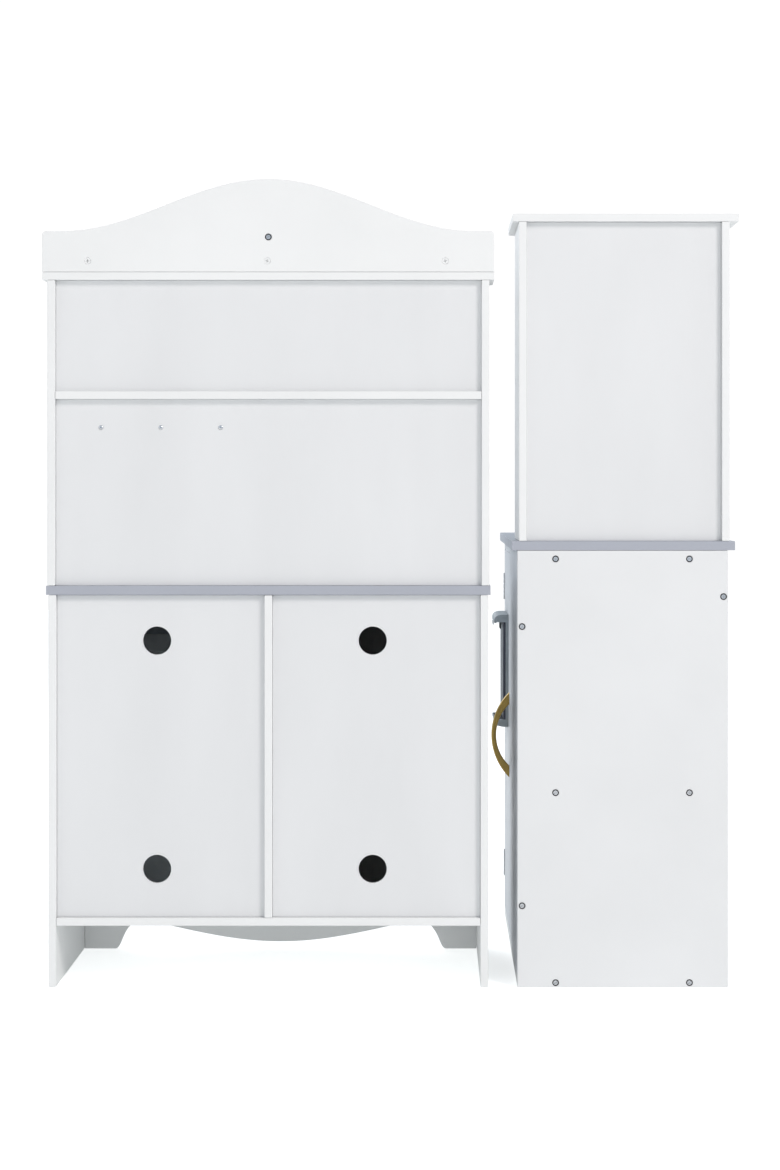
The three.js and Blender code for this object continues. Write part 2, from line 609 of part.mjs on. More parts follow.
function sinkDoors() {
  const z = inside(BAY_Z, DOOR_GAP);
  const centreX = middle(LEFT_BAY);
  const left = [LEFT_BAY[0] + DOOR_GAP, centreX - DOOR_GAP / 2];
  const right = [centreX + DOOR_GAP / 2, LEFT_BAY[1] - DOOR_GAP];
  board("sink_door_left", WHITE, left, FRONT_Y, z);
  board("sink_door_right", WHITE, right, FRONT_Y, z);
  const handleY = MAIN_FRONT_Y - FIT;
  handle("sink_handle_left", Z, FORWARD, left[1] - HANDLE_INSET, handleY, SINK_HANDLE_Z);
  handle("sink_handle_right", Z, FORWARD, right[0] + HANDLE_INSET, handleY, SINK_HANDLE_Z);
}

// ---------------------------------------------------------------- corner unit

function cornerCarcass() {
  const z = [0, CORNER_TOP_Z];
  board("corner_end_back", WHITE, CORNER_X, [CORNER_INSIDE_Y[1], CORNER_Y[1]], z);
  board("corner_end_front", WHITE, CORNER_X, [CORNER_Y[0], CORNER_INSIDE_Y[0]], z);
  const y = inside(CORNER_INSIDE_Y, FIT);
  board("corner_floor", WHITE, CORNER_X, y, [0, FRONT_BOARD]);

  const panelY = [BACK_Y - DEAD_CORNER, y[1]];
  const standing = inside([FRONT_BOARD, CORNER_TOP_Z], FIT);
  board("corner_front_panel", PALE_GREY, CORNER_FRONT_BOARD_X, panelY, standing);
  const railX = [CORNER_X[0], CORNER_X[0] + FRONT_BOARD];
  board("corner_back_rail", WHITE, railX, y, BACK_RAIL_Z);
  const sheetX = [railX[1] + FIT, railX[1] + FIT + BACK_SHEET];
  board("corner_back_sheet", SHEET_WHITE, sheetX, y, standing);

  const shelfX = [sheetX[1] + FIT, CORNER_FRONT_BOARD_X[0] - 1.5];
  board("corner_shelf", WHITE, shelfX, y, [CORNER_SHELF_Z, CORNER_SHELF_Z + FRONT_BOARD]);
  board("corner_top_board", WHITE, shelfX, y, [CORNER_TOP_BOARD_Z, CORNER_TOP_BOARD_Z + FRONT_BOARD]);

  const topX = [CORNER_X[0] - CORNER_OVERHANG_BACK, CORNER_FRONT_X + CORNER_OVERHANG_FRONT];
  const topY = [CORNER_Y[0] - CORNER_OVERHANG_END, BACK_Y];
  const outline = roundedOutline(topX, topY, WORKTOP_CORNER, true);
  piece("corner_worktop", LAVENDER, extruded(outline, WORKTOP - FIT).translate(0, 0, CORNER_TOP_Z + FIT));
}

function fridgeDoor() {
  const y = [CORNER_INSIDE_Y[0] + DOOR_GAP, BACK_Y - DEAD_CORNER - DOOR_GAP];
  const z = inside([FRONT_BOARD, CORNER_TOP_Z], DOOR_GAP);
  board("fridge_door", PALE_GREY, CORNER_FRONT_BOARD_X, y, z);
  handle("fridge_handle", Z, X, CORNER_FRONT_X + FIT, FRIDGE_HANDLE_Y, FRIDGE_HANDLE_Z);
}

// The dispenser is C-shaped from the side: a ledge with a lip above, a plate, and a tray below.
function dispenser() {
  const [bottom, top] = DISPENSER_Z;
  const [lipThick, lipDrop] = DISPENSER_LIP;
  const lipZ = top - DISPENSER_LEDGE;
  const trayZ = bottom + DISPENSER_LEDGE;
  const profile = new THREE.Shape();
  profile.moveTo(bottom, 0);
  profile.quadraticCurveTo(bottom, DISPENSER_REACH, bottom + 8, DISPENSER_REACH);
  profile.lineTo(trayZ, DISPENSER_REACH);
  profile.lineTo(trayZ, DISPENSER_PLATE);
  profile.lineTo(lipZ, DISPENSER_PLATE);
  profile.lineTo(lipZ, DISPENSER_REACH - lipThick);
  profile.lineTo(lipZ - lipDrop, DISPENSER_REACH - lipThick + 1);
  profile.lineTo(lipZ - lipDrop, DISPENSER_REACH);
  profile.lineTo(top - 9, DISPENSER_REACH);
  profile.quadraticCurveTo(top, DISPENSER_REACH, top, DISPENSER_REACH - 12);
  profile.lineTo(top, 0);
  const housing = extruded(profile, DISPENSER_WIDTH, 6);
  const faceX = CORNER_FRONT_X + FIT;
  const endY = DISPENSER_Y + DISPENSER_WIDTH / 2;
  piece("dispenser_housing", SLATE, turned(housing, Z, X, faceX, endY - DISPENSER_WIDTH, 0));

  const [width, thick, drop] = PADDLE;
  const paddleX = faceX + DISPENSER_PLATE + PADDLE_ROOM;
  const outline = roundedOutline(around(DISPENSER_Y, width), [lipZ - drop, lipZ - FIT], 4);
  piece("dispenser_lever", BLACK, turned(extruded(outline, thick), Y, Z, paddleX, 0, 0));
}

// ---------------------------------------------------------------- microwave tower

function tower() {
  const insideX = [TOWER_SPAN[0] + BOARD, TOWER_SPAN[1] - BOARD];
  const z = [CORNER_WORKTOP_Z + FIT, TOWER_TOP_Z - FIT];
  board("tower_side_left", WHITE, [TOWER_SPAN[0], insideX[0]], TOWER_Y, z);
  board("tower_side_right", WHITE, [insideX[1], TOWER_SPAN[1]], TOWER_Y, z);
  board("tower_back", SHEET_WHITE, inside(insideX, FIT), SHEET_Y, z);
  const shelfY = [TOWER_Y[0], SHEET_Y[0] - FIT];
  board("tower_shelf", WHITE, inside(insideX, FIT), shelfY, [TOWER_SHELF_Z, TOWER_SHELF_Z + BOARD]);
  const topX = [-HALF_WIDTH, TOWER_TOP_WIDTH - HALF_WIDTH];
  const outline = roundedOutline(topX, [BACK_Y - TOWER_TOP_DEPTH, BACK_Y], HUTCH_TOP_CORNER, true);
  piece("tower_top", WHITE, extruded(outline, BOARD).translate(0, 0, TOWER_TOP_Z));
}

function microwave() {
  const x = inside([TOWER_SPAN[0] + BOARD, TOWER_SPAN[1] - BOARD], DOOR_GAP);
  const z = [TOWER_SHELF_Z + BOARD + DOOR_GAP, TOWER_TOP_Z - DOOR_GAP];
  const frontY = TOWER_Y[0];
  const centreZ = middle(z);
  const windowX = [x[0] + MICROWAVE_WINDOW_INSET, x[0] + MICROWAVE_WINDOW_INSET + MICROWAVE_WINDOW[0]];
  const windowZ = around(centreZ, MICROWAVE_WINDOW[1]);
  const knobX = x[1] - MICROWAVE_KNOB_INSET;
  const hole = [knobX, centreZ, SPINDLE_R + SPINDLE_CLEARANCE];
  glazedDoor("microwave_door", "microwave_window", x, z, windowX, windowZ, [hole], frontY);
  piece("microwave_knob", GOLD, knob().translate(knobX, frontY, centreZ));
  const handleX = x[1] - MICROWAVE_HANDLE_INSET;
  handle("microwave_handle", Z, FORWARD, handleX, frontY - FIT, centreZ);
}

// ---------------------------------------------------------------- the whole kitchen

mainCarcass();
mainSkirt();
mainWorktop();
hutch();
crest();
clock();
hookRail();
stove();
oven();
sink();
tapBody();
tapSpout();
tapLever("tap_lever_left", -1);
tapLever("tap_lever_right", 1);
sinkDoors();
cornerCarcass();
fridgeDoor();
dispenser();
tower();
microwave();

export default kitchen;
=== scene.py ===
"""A child's corner play kitchen in satin painted board.

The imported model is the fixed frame. This script dresses its boards, puts finished pieces in the place of
the plain ones, adds the hardware, and sets up a pale studio. Lengths are in metres unless a name ends
in _mm, +Z is up, the main unit faces -Y and the corner unit faces +X.
"""
import sys
import logging
import math
from dataclasses import dataclass
from enum import Enum
from typing import Callable, Sequence

import bmesh
import bpy
from mathutils import Matrix, Vector


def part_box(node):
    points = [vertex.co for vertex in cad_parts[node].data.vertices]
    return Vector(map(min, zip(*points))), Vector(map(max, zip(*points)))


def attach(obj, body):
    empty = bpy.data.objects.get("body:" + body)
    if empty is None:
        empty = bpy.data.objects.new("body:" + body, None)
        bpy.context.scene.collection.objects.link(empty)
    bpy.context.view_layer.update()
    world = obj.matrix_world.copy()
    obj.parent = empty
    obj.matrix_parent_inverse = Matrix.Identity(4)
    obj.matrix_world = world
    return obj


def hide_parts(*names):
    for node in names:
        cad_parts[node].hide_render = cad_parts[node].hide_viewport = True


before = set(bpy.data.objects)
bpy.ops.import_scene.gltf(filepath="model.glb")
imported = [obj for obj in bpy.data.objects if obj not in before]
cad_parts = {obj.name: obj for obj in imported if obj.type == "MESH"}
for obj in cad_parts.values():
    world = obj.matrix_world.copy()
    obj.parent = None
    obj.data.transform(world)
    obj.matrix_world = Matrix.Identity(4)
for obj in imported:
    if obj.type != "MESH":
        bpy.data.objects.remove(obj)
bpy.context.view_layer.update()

logging.basicConfig(level=logging.INFO, format="%(message)s", stream=sys.stdout)
log = logging.getLogger("play_kitchen")

MM = 0.001
ROOT = "kitchen"
Point = Sequence[float]
Piece = bpy.types.Object
Socket = bpy.types.NodeSocket
Profile = Sequence[tuple[float, float]]
Triple = tuple[float, float, float]
Material = bpy.types.Material

SHARP_DEG = 32.0
SWEPT_SHARP_DEG = 40.0
EASE_SEGMENTS = 3
EASE_STEPS = 4
WELD_GAP = 0.01 * MM
SAME_POINT = 1e-6
PATTERN_SPAN = (0.3, 0.7)
FRONT_CORNER = 1.2 * MM
SPINDLE_HOLE = 4.6 * MM
LIE_DOWN = Matrix.Rotation(math.radians(-90), 4, "X")
UPRIGHT = Matrix.Rotation(math.radians(90), 4, "Z")
X_WAY, Y_WAY, Z_WAY = (Vector(way) for way in ((1, 0, 0), (0, 1, 0), (0, 0, 1)))


def middle_of(node: str) -> Triple:
    """The middle of a CAD node's box."""
    return tuple((low + high) / 2 for low, high in zip(*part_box(node)))


def raised(place: Matrix, height: float) -> Matrix:
    """A place moved along its own local z."""
    return place @ Matrix.Translation((0, 0, height))


def near(radius: float, height: float, *steps_mm: tuple[float, float]) -> list[tuple[float, float]]:
    """Points of a profile, each a step in millimetres from one radius and height."""
    return [(radius + out * MM, height + up * MM) for out, up in steps_mm]


# ---- directions


class Facing(Enum):
    """The way a face looks. Each value is the face's own right and its own up."""

    FRONT = ((1, 0, 0), (0, 0, 1))
    BACK = ((-1, 0, 0), (0, 0, 1))
    RIGHT = ((0, 1, 0), (0, 0, 1))
    LEFT = ((0, -1, 0), (0, 0, 1))
    UP = ((1, 0, 0), (0, 1, 0))

    @property
    def across(self) -> Vector:
        """The face's own right."""
        return Vector(self.value[0])

    @property
    def along(self) -> Vector:
        """The face's own up."""
        return Vector(self.value[1])

    @property
    def outward(self) -> Vector:
        """The face's normal."""
        return self.across.cross(self.along)

    def matrix(self, origin: Point) -> Matrix:
        """The place of local (right, up, out) coordinates at an origin, in the kitchen's frame."""
        turn = Matrix((self.across, self.along, self.outward)).transposed().to_4x4()
        return Matrix.Translation(Vector(origin)) @ turn


# ---- finishes


class NodeTree:
    """A node tree while it is being built."""

    tree: bpy.types.NodeTree

    def node(self, kind: str, **inputs: object) -> bpy.types.Node:
        """Adds a node and fills its inputs.

        Args:
            kind: the node's type name.
            **inputs: a socket to link from, or a plain value. Base_Color stands for the input Base Color.

        Returns:
            The new node.
        """
        made = self.tree.nodes.new(kind)
        for name, value in inputs.items():
            socket = made.inputs[name.replace("_", " ")]
            if isinstance(value, Socket):
                self.tree.links.new(value, socket)
            else:
                socket.default_value = value
        return made


class Shader(NodeTree):
    """One material's tree, with a Principled surface."""

    def __init__(self, name: str) -> None:
        """Starts a material of that name."""
        self.material = bpy.data.materials.new(name)
        self.material.use_nodes = True
        self.tree = self.material.node_tree
        self.surface = self.tree.nodes["Principled BSDF"]
        self.place = self.tree.nodes.new("ShaderNodeTexCoord").outputs["Object"]

    def noise(self, scale: float, detail: float = 3.0, stretch: Point = (1, 1, 1)) -> Socket:
        """A noise pattern on the piece's own coordinates.

        Args:
            scale: cells per metre.
            detail: octaves of finer detail.
            stretch: a scale along each axis, for brushed and rolled patterns.

        Returns:
            The pattern's value, from 0 to 1.
        """
        mapping = self.node("ShaderNodeMapping", Vector=self.place, Scale=stretch)
        noise = self.node("ShaderNodeTexNoise", Vector=mapping.outputs["Vector"], Scale=scale,
            Detail=detail)
        return noise.outputs["Fac"]

    def span(self, value: Socket, low: float, high: float) -> Socket:
        """Maps the useful part of a pattern onto a range.

        Args:
            value: the pattern.
            low: the least result.
            high: the greatest result.

        Returns:
            The mapped value.
        """
        start, end = PATTERN_SPAN
        ramp = self.node("ShaderNodeMapRange", Value=value, From_Min=start, From_Max=end, To_Min=low,
            To_Max=high)
        return ramp.outputs["Result"]

    def blend(self, factor: Socket, first: Point, second: Point) -> Socket:
        """Mixes two colours by a pattern.

        Args:
            factor: 0 for the first colour and 1 for the second.
            first: a linear RGB colour.
            second: a linear RGB colour.

        Returns:
            The mixed colour.
        """
        mix = self.tree.nodes.new("ShaderNodeMix")
        mix.data_type = "RGBA"
        self.tree.links.new(factor, mix.inputs["Factor"])
        ends = [socket for socket in mix.inputs if socket.type == "RGBA"]
        for socket, colour in zip(ends, (first, second)):
            socket.default_value = (*colour, 1)
        return next(socket for socket in mix.outputs if socket.type == "RGBA")

    def relief(self, height: Socket, depth_mm: float, strength: float,
            under: Socket | None = None) -> Socket:
        """Adds a bump.

        Args:
            height: the pattern, from 0 to 1.
            depth_mm: how high the pattern's whole range stands.
            strength: the bump's strength.
            under: a coarser bump's normal to build on.

        Returns:
            The bumped normal.
        """
        bump = self.node("ShaderNodeBump", Height=height, Distance=depth_mm * MM, Strength=strength)
        if under is not None:
            self.tree.links.new(under, bump.inputs["Normal"])
        return bump.outputs["Normal"]

    def feed(self, name: str, socket: Socket) -> None:
        """Links a pattern into one of the surface's sockets."""
        self.tree.links.new(socket, self.surface.inputs[name])

    def set(self, **values: float) -> None:
        """Sets the surface's sockets: Coat_Weight stands for the socket Coat Weight."""
        for name, value in values.items():
            self.surface.inputs[name.replace("_", " ")].default_value = value


@dataclass(frozen=True)
class Finish:
    """A finish of the kitchen: a material name and the record's slot that it stands for."""

    name: str
    slot: str
    colour: Triple

    def build(self) -> Material:
        """Makes the material. Each kind of finish has its own."""
        raise NotImplementedError

    def material(self) -> Material:
        """The finish's material, made on its first use."""
        return bpy.data.materials.get(self.name) or self.build()

    def dress(self, piece: Piece) -> Piece:
        """Puts the finish on a piece.

        Args:
            piece: an object with a mesh.

        Returns:
            The same object.
        """
        piece.data.materials.clear()
        piece.data.materials.append(self.material())
        return piece

    def shade(self, factor: float) -> Triple:
        """The finish's colour, darker under 1 and lighter over 1."""
        return tuple(min(1.0, c * factor) for c in self.colour)

    def coat(self, tones: tuple, shades: tuple[float, float], marks: tuple,
            rough: tuple[float, float]) -> Shader:
        """Starts the material with slow changes of tone and of roughness.

        Args:
            tones: the noise of the tone: its scale, detail and stretch.
            shades: the darkest and the lightest tone, as shares of the colour.
            marks: the noise of the roughness.
            rough: the least and the most roughness.

        Returns:
            The material's tree.
        """
        s = Shader(self.name)
        tone = s.span(s.noise(*tones), 0.0, 1.0)
        s.feed("Base Color", s.blend(tone, *map(self.shade, shades)))
        s.feed("Roughness", s.span(s.noise(*marks), *rough))
        return s


@dataclass(frozen=True)
class SatinPaint(Finish):
    """Sprayed satin lacquer on board, with a faint orange peel and slow changes of tone."""

    roughness: float = 0.42
    peel_mm: float = 0.035

    def build(self) -> Material:
        """Makes the lacquer."""
        rough = (self.roughness - 0.05, self.roughness + 0.08)
        s = self.coat((7.0, 4.0), (0.975, 1.012), (38.0, 5.0), rough)
        fibres = s.relief(s.noise(260.0, 2.0), self.peel_mm, 0.5)
        s.feed("Normal", s.relief(s.noise(1100.0, 2.0), self.peel_mm * 0.4, 0.5, fibres))
        s.set(Specular_IOR_Level=0.42)
        return s.material


@dataclass(frozen=True)
class FacedSheet(Finish):
    """Thin sheet with a rolled white face: faint upright lines in the coat."""

    def build(self) -> Material:
        """Makes the rolled coat."""
        s = self.coat((9.0, 4.0, (1, 1, 0.3)), (0.97, 1.015), (55.0, 4.0), (0.5, 0.64))
        s.feed("Normal", s.relief(s.noise(420.0, 3.0, (1, 1, 0.05)), 0.05, 0.45))
        s.set(Specular_IOR_Level=0.35)
        return s.material


@dataclass(frozen=True)
class BrushedMetal(Finish):
    """Brushed and lacquered metal, with fine scratches along one axis."""

    roughness: float = 0.3
    grain: Triple = (1.0, 1.0, 0.03)
    contrast: float = 0.16

    def build(self) -> Material:
        """Makes the brushed metal."""
        scratches = (2600.0, 4.0, self.grain)
        rough = (self.roughness - 0.07, self.roughness + 0.12)
        s = self.coat((40.0, 4.0), (1 - self.contrast, 1.08), scratches, rough)
        s.feed("Normal", s.relief(s.noise(*scratches), 0.02, 0.35))
        s.set(Metallic=1.0)
        return s.material


@dataclass(frozen=True)
class MetallisedPlastic(Finish):
    """Moulded plastic with a thin vacuum coat of metal under clear lacquer."""

    roughness: float = 0.2

    def build(self) -> Material:
        """Makes the coated plastic."""
        rough = (self.roughness - 0.04, self.roughness + 0.1)
        s = self.coat((30.0, 3.0), (0.9, 1.05), (140.0, 4.0), rough)
        s.feed("Normal", s.relief(s.noise(420.0, 2.0), 0.02, 0.3))
        s.set(Metallic=1.0, Coat_Weight=0.25, Coat_Roughness=0.08)
        return s.material


@dataclass(frozen=True)
class GrainedPlastic(Finish):
    """Moulded plastic with a fine spark-eroded grain."""

    roughness: float = 0.5
    grain_mm: float = 0.05

    def build(self) -> Material:
        """Makes the grained plastic."""
        rough = (self.roughness - 0.06, self.roughness + 0.08)
        s = self.coat((24.0, 4.0), (0.93, 1.05), (90.0, 3.0), rough)
        s.feed("Normal", s.relief(s.noise(1700.0, 2.0), self.grain_mm, 0.5))
        return s.material


@dataclass(frozen=True)
class GlossPlastic(Finish):
    """Polished plastic or print with light wipe marks."""

    roughness: float = 0.12

    def build(self) -> Material:
        """Makes the polished plastic."""
        rough = (self.roughness - 0.04, self.roughness + 0.12)
        s = self.coat((60.0, 5.0), (0.9, 1.1), (26.0, 6.0, (1, 3, 1)), rough)
        s.feed("Normal", s.relief(s.noise(70.0, 2.0), 0.03, 0.25))
        s.set(Coat_Weight=0.3, Coat_Roughness=0.05)
        return s.material


@dataclass(frozen=True)
class ClearPane(Finish):
    """Clear acrylic sheet with a slight smoke tint and faint handling marks."""

    def build(self) -> Material:
        """Makes the acrylic."""
        s = self.coat((12.0, 2.0), (0.96, 1.0), (48.0, 6.0), (0.02, 0.12))
        s.set(Transmission_Weight=1.0, IOR=1.49)
        return s.material


WHITE = SatinPaint("white_lacquer", "white_board", (0.83, 0.84, 0.84))
# A darker, bluer copy of the white lacquer for the corner unit's end boards: painted shade, not a paint of
# their own.
SHADED_END_WHITE = SatinPaint("white_end_lacquer", "white_board", (0.775, 0.785, 0.793), roughness=0.46)
SHEET = FacedSheet("white_sheet", "sheet_white", (0.755, 0.765, 0.775))
LAVENDER = SatinPaint("lavender_lacquer", "worktop_lavender", (0.405, 0.425, 0.48), roughness=0.36)
PALE_GREY = SatinPaint("pale_grey_lacquer", "pale_grey", (0.62, 0.65, 0.69), roughness=0.38)
GOLD = BrushedMetal("satin_gold_upright", "handle_gold", (0.43, 0.295, 0.092))
GOLD_ACROSS = BrushedMetal("satin_gold_across", "handle_gold", (0.43, 0.295, 0.092), grain=(0.03, 1.0, 1.0))
GOLD_HOOK = BrushedMetal("satin_gold_hook", "gold_metal", (0.50, 0.35, 0.12), grain=(0.03, 1.0, 1.0))
GOLD_PLASTIC = MetallisedPlastic("gold_coated_plastic", "gold_plastic", (0.52, 0.37, 0.13))
SLATE = GrainedPlastic("slate_plastic", "dispenser_slate", (0.36, 0.405, 0.44))
# A near-black copy of the slate plastic, for the liner in the dispenser's recess: painted shade.
SHADED_SLATE = GrainedPlastic("night_blue_plastic", "dispenser_slate", (0.05, 0.056, 0.082), roughness=0.36)
BLACK_PLASTIC = GrainedPlastic("black_plastic", "dispenser_paddle", (0.022, 0.023, 0.026), roughness=0.42)
HOB_BLACK = GlossPlastic("hob_gloss_black", "hob_black", (0.012, 0.012, 0.014), roughness=0.1)
HOB_PRINT = GlossPlastic("hob_print_silver", "hob_black", (0.42, 0.43, 0.45), roughness=0.3)
SINK_GREY = MetallisedPlastic("silver_coated_plastic", "steel_grey", (0.52, 0.54, 0.56), roughness=0.26)
WIRE = BrushedMetal("bright_wire", "rack_steel", (0.58, 0.59, 0.6), roughness=0.22, grain=(0.05, 0.05, 1.0))
CHROME = BrushedMetal("chromed_steel", "rack_steel", (0.55, 0.56, 0.58), roughness=0.18, contrast=0.08)
# Blackened steel for the clock's hands. It also colours the dark rings round screw heads, which are painted
# shade of the countersink's gap.
BLACKENED_AND_SHADE = BrushedMetal("blackened_steel", "rack_steel", (0.032, 0.031, 0.032), roughness=0.5)
PANE = ClearPane("clear_acrylic", "clear_pane", (0.86, 0.9, 0.92))
NYLON = GrainedPlastic("white_nylon", "white_board", (0.72, 0.72, 0.7), roughness=0.45)


# ---- mesh making


def linked(name: str, data: bpy.types.ID) -> Piece:
    """A new object in the scene that shows some data."""
    made = bpy.data.objects.new(name, data)
    bpy.context.scene.collection.objects.link(made)
    return made


def smooth(mesh: bpy.types.Mesh, sharp_deg: float = SHARP_DEG) -> None:
    """Makes a mesh's faces smooth. Edges that bend more than the angle stay sharp."""
    mesh.polygons.foreach_set("use_smooth", [True] * len(mesh.polygons))
    mesh.set_sharp_from_angle(angle=math.radians(sharp_deg))


def circle(steps: int) -> list[tuple[float, float]]:
    """The cosine and sine of each step round a circle."""
    return [(math.cos(a), math.sin(a)) for a in (2 * math.pi * i / steps for i in range(steps))]


def as_piece(name: str, bm: bmesh.types.BMesh, sharp_deg: float = SHARP_DEG) -> Piece:
    """Turns a bmesh into a linked object with smooth faces and sharp corners.

    Args:
        name: the piece's name.
        bm: the geometry, in the kitchen's frame. It is freed.
        sharp_deg: edges that bend more than this stay sharp.

    Returns:
        The new object, at the origin.
    """
    bmesh.ops.remove_doubles(bm, verts=bm.verts, dist=SAME_POINT)
    bmesh.ops.recalc_face_normals(bm, faces=bm.faces)
    mesh = bpy.data.meshes.new(name)
    bm.to_mesh(mesh)
    bm.free()
    smooth(mesh, sharp_deg)
    return linked(name, mesh)


def lofted(name: str, rings: Sequence[Sequence[Vector]], closed: bool = False,
        sharp_deg: float = SHARP_DEG) -> Piece:
    """A piece skinned over rings of points that all have the same count.

    Args:
        name: the piece's name.
        rings: each ring goes round in the same sense.
        closed: True joins the last ring to the first, and False caps both ends.
        sharp_deg: edges that bend more than this stay sharp.

    Returns:
        The new piece.
    """
    bm = bmesh.new()
    rows = [[bm.verts.new(point) for point in ring] for ring in rings]
    count = len(rows[0])
    pairs = list(zip(rows, rows[1:])) + ([(rows[-1], rows[0])] if closed else [])
    for low, high in pairs:
        for i in range(count):
            bm.faces.new((low[i], low[(i + 1) % count], high[(i + 1) % count], high[i]))
    if not closed:
        bm.faces.new(list(reversed(rows[0])))
        bm.faces.new(rows[-1])
    return as_piece(name, bm, sharp_deg)


def rounded_loop(half_width: float, half_height: float, radius: float, steps: int = 5) -> list[Vector]:
    """A rectangle with round corners, anticlockwise.

    Args:
        half_width: half the size along local x.
        half_height: half the size along local y.
        radius: the corner radius.
        steps: straight steps in each corner.

    Returns:
        The loop's points, with z at 0.
    """
    radius = min(radius, half_width * 0.999, half_height * 0.999)
    points = []
    for quarter, (sx, sy) in enumerate(((1, -1), (1, 1), (-1, 1), (-1, -1))):
        for step in range(steps + 1):
            angle = math.radians(-90 + 90 * quarter + 90 * step / steps)
            x = sx * (half_width - radius) + radius * math.cos(angle)
            y = sy * (half_height - radius) + radius * math.sin(angle)
            points.append(Vector((x, y, 0)))
    return points


@dataclass(frozen=True)
class Ring:
    """One rounded rectangle of a plate's skin, on the plate's own right, up and out."""

    low: tuple[float, float]
    high: tuple[float, float]
    lift: float = 0.0
    radius: float = 0.5 * MM

    def moved(self, inset: float, lift: float, radius: float | None = None) -> "Ring":
        """The same rectangle, pulled in on all sides.

        Args:
            inset: how far it is pulled in.
            lift: its new height over the face.
            radius: its new corner radius, or None to keep the corner concentric.

        Returns:
            The new ring.
        """
        corner = max(self.radius - inset, 0.2 * MM) if radius is None else radius
        low = (self.low[0] + inset, self.low[1] + inset)
        high = (self.high[0] - inset, self.high[1] - inset)
        return Ring(low, high, lift, corner)

    def steps(self, lift: float, *steps_mm: tuple[float, ...]) -> list["Ring"]:
        """Rings pulled in from this one: each step has an inset, a rise over lift and maybe a radius."""
        return [self.moved(step[0] * MM, lift + step[1] * MM, *(radius * MM for radius in step[2:]))
            for step in steps_mm]

    def points(self, place: Matrix, steps: int) -> list[Vector]:
        """The ring's points in the kitchen's frame."""
        middle = Vector(((self.low[0] + self.high[0]) / 2, (self.low[1] + self.high[1]) / 2, self.lift))
        half = ((self.high[0] - self.low[0]) / 2, (self.high[1] - self.low[1]) / 2)
        return [place @ (middle + p) for p in rounded_loop(*half, self.radius, steps)]


def skin(name: str, place: Matrix, rings: Sequence[Ring], closed: bool = False, steps: int = 5) -> Piece:
    """A piece skinned over rounded rectangles on a place's axes. A closed one has a hole through it."""
    return lofted(name, [ring.points(place, steps) for ring in rings], closed)


def eased(outer: Ring, thickness: float, ease: float) -> list[Ring]:
    """The rings of a plate's back, side and front edge, with both edges eased. Its face is at lift 0."""
    soft = 0.3 * ease
    return [outer.moved(ease, -thickness), outer.moved(soft, soft - thickness),
        outer.moved(0, ease - thickness), outer.moved(0, -ease), outer.moved(soft, -soft),
        outer.moved(ease, 0)]


def turned(name: str, profile: Profile, place: Matrix, segments: int = 40) -> Piece:
    """A turned piece.

    Args:
        name: the piece's name.
        profile: (radius, height) from the back to the front, on the axis at both ends.
        place: its axis runs along local z.
        segments: steps round the axis.

    Returns:
        The new piece.
    """
    bm = bmesh.new()
    rows = []
    for radius, height in profile:
        if radius < 1e-7:
            rows.append([bm.verts.new(place @ Vector((0, 0, height)))])
            continue
        rows.append([bm.verts.new(place @ Vector((radius * x, radius * y, height))) for x,
            y in circle(segments)])
    for low, high in zip(rows, rows[1:]):
        for i in range(segments):
            j = (i + 1) % segments
            corners = [low[i % len(low)], low[j % len(low)], high[j % len(high)], high[i % len(high)]]
            bm.faces.new(list(dict.fromkeys(corners)))
    return as_piece(name, bm)


def ring_of(profile: Profile, name: str, place: Matrix, segments: int = 48) -> Piece:
    """A turned ring about a place's local z. Its profile of (radius, height) closes on itself."""
    return lofted(name, [[place @ Vector((r * x, r * y, h)) for r, h in profile] for x,
        y in circle(segments)], True)


def arc_profile(radius: float, height: float, ease: float, base: float = 0.0) -> list[tuple[float, float]]:
    """The profile of a disc with an eased front edge.

    Args:
        radius: the disc's radius.
        height: the height of its face.
        ease: the radius of the eased edge.
        base: the height that it starts at.

    Returns:
        (radius, height) points from the axis at the base to the axis at the face.
    """
    points = [(0.0, base), (radius, base)]
    for step in range(EASE_STEPS + 1):
        a = math.pi / 2 * step / EASE_STEPS
        points.append((radius - ease + ease * math.cos(a), height - ease + ease * math.sin(a)))
    return points + [(0.0, height)]


def swept(name: str, centres: Sequence[Vector], sections: Sequence[Sequence[Vector]]) -> Piece:
    """A piece skinned over sections, each a loop of offsets from its own point on a path."""
    rings = [[centre + offset for offset in section] for centre, section in zip(centres, sections)]
    return lofted(name, rings, sharp_deg=SWEPT_SHARP_DEG)


def tube(name: str, path: Sequence[Vector], radius: float | Callable[[float], float],
        sides: int = 20) -> Piece:
    """A round rod along a path that lies in one plane.

    Args:
        name: the piece's name.
        path: its centre line.
        radius: one radius, or a function of the share of the path that is done.
        sides: steps round the rod.

    Returns:
        The new piece.
    """
    size = radius if callable(radius) else (lambda share: radius)
    last = len(path) - 1
    tangents = [(path[min(i + 1, last)] - path[max(i - 1, 0)]).normalized() for i in range(last + 1)]
    bent = max(tangents, key=lambda t: t.cross(tangents[0]).length)
    normal = bent.cross(tangents[0])
    side = normal.normalized() if normal.length > 1e-6 else tangents[0].orthogonal().normalized()
    sections = []
    for i, tangent in enumerate(tangents):
        other = tangent.cross(side).normalized()
        r = size(i / last)
        sections.append([r * (x * side + y * other) for x, y in circle(sides)])
    return swept(name, path, sections)


def bezier(knots: Sequence[Vector], steps: int) -> list[Vector]:
    """Points on a cubic curve.

    Args:
        knots: its four knots.
        steps: straight steps along it.

    Returns:
        The points, both ends included.
    """
    points = []
    for step in range(steps + 1):
        t = step / steps
        weights = ((1 - t) ** 3, 3 * t * (1 - t) ** 2, 3 * t * t * (1 - t), t ** 3)
        start = Vector([0.0] * len(knots[0]))
        points.append(sum((weight * knot for weight, knot in zip(weights, knots)), start))
    return points


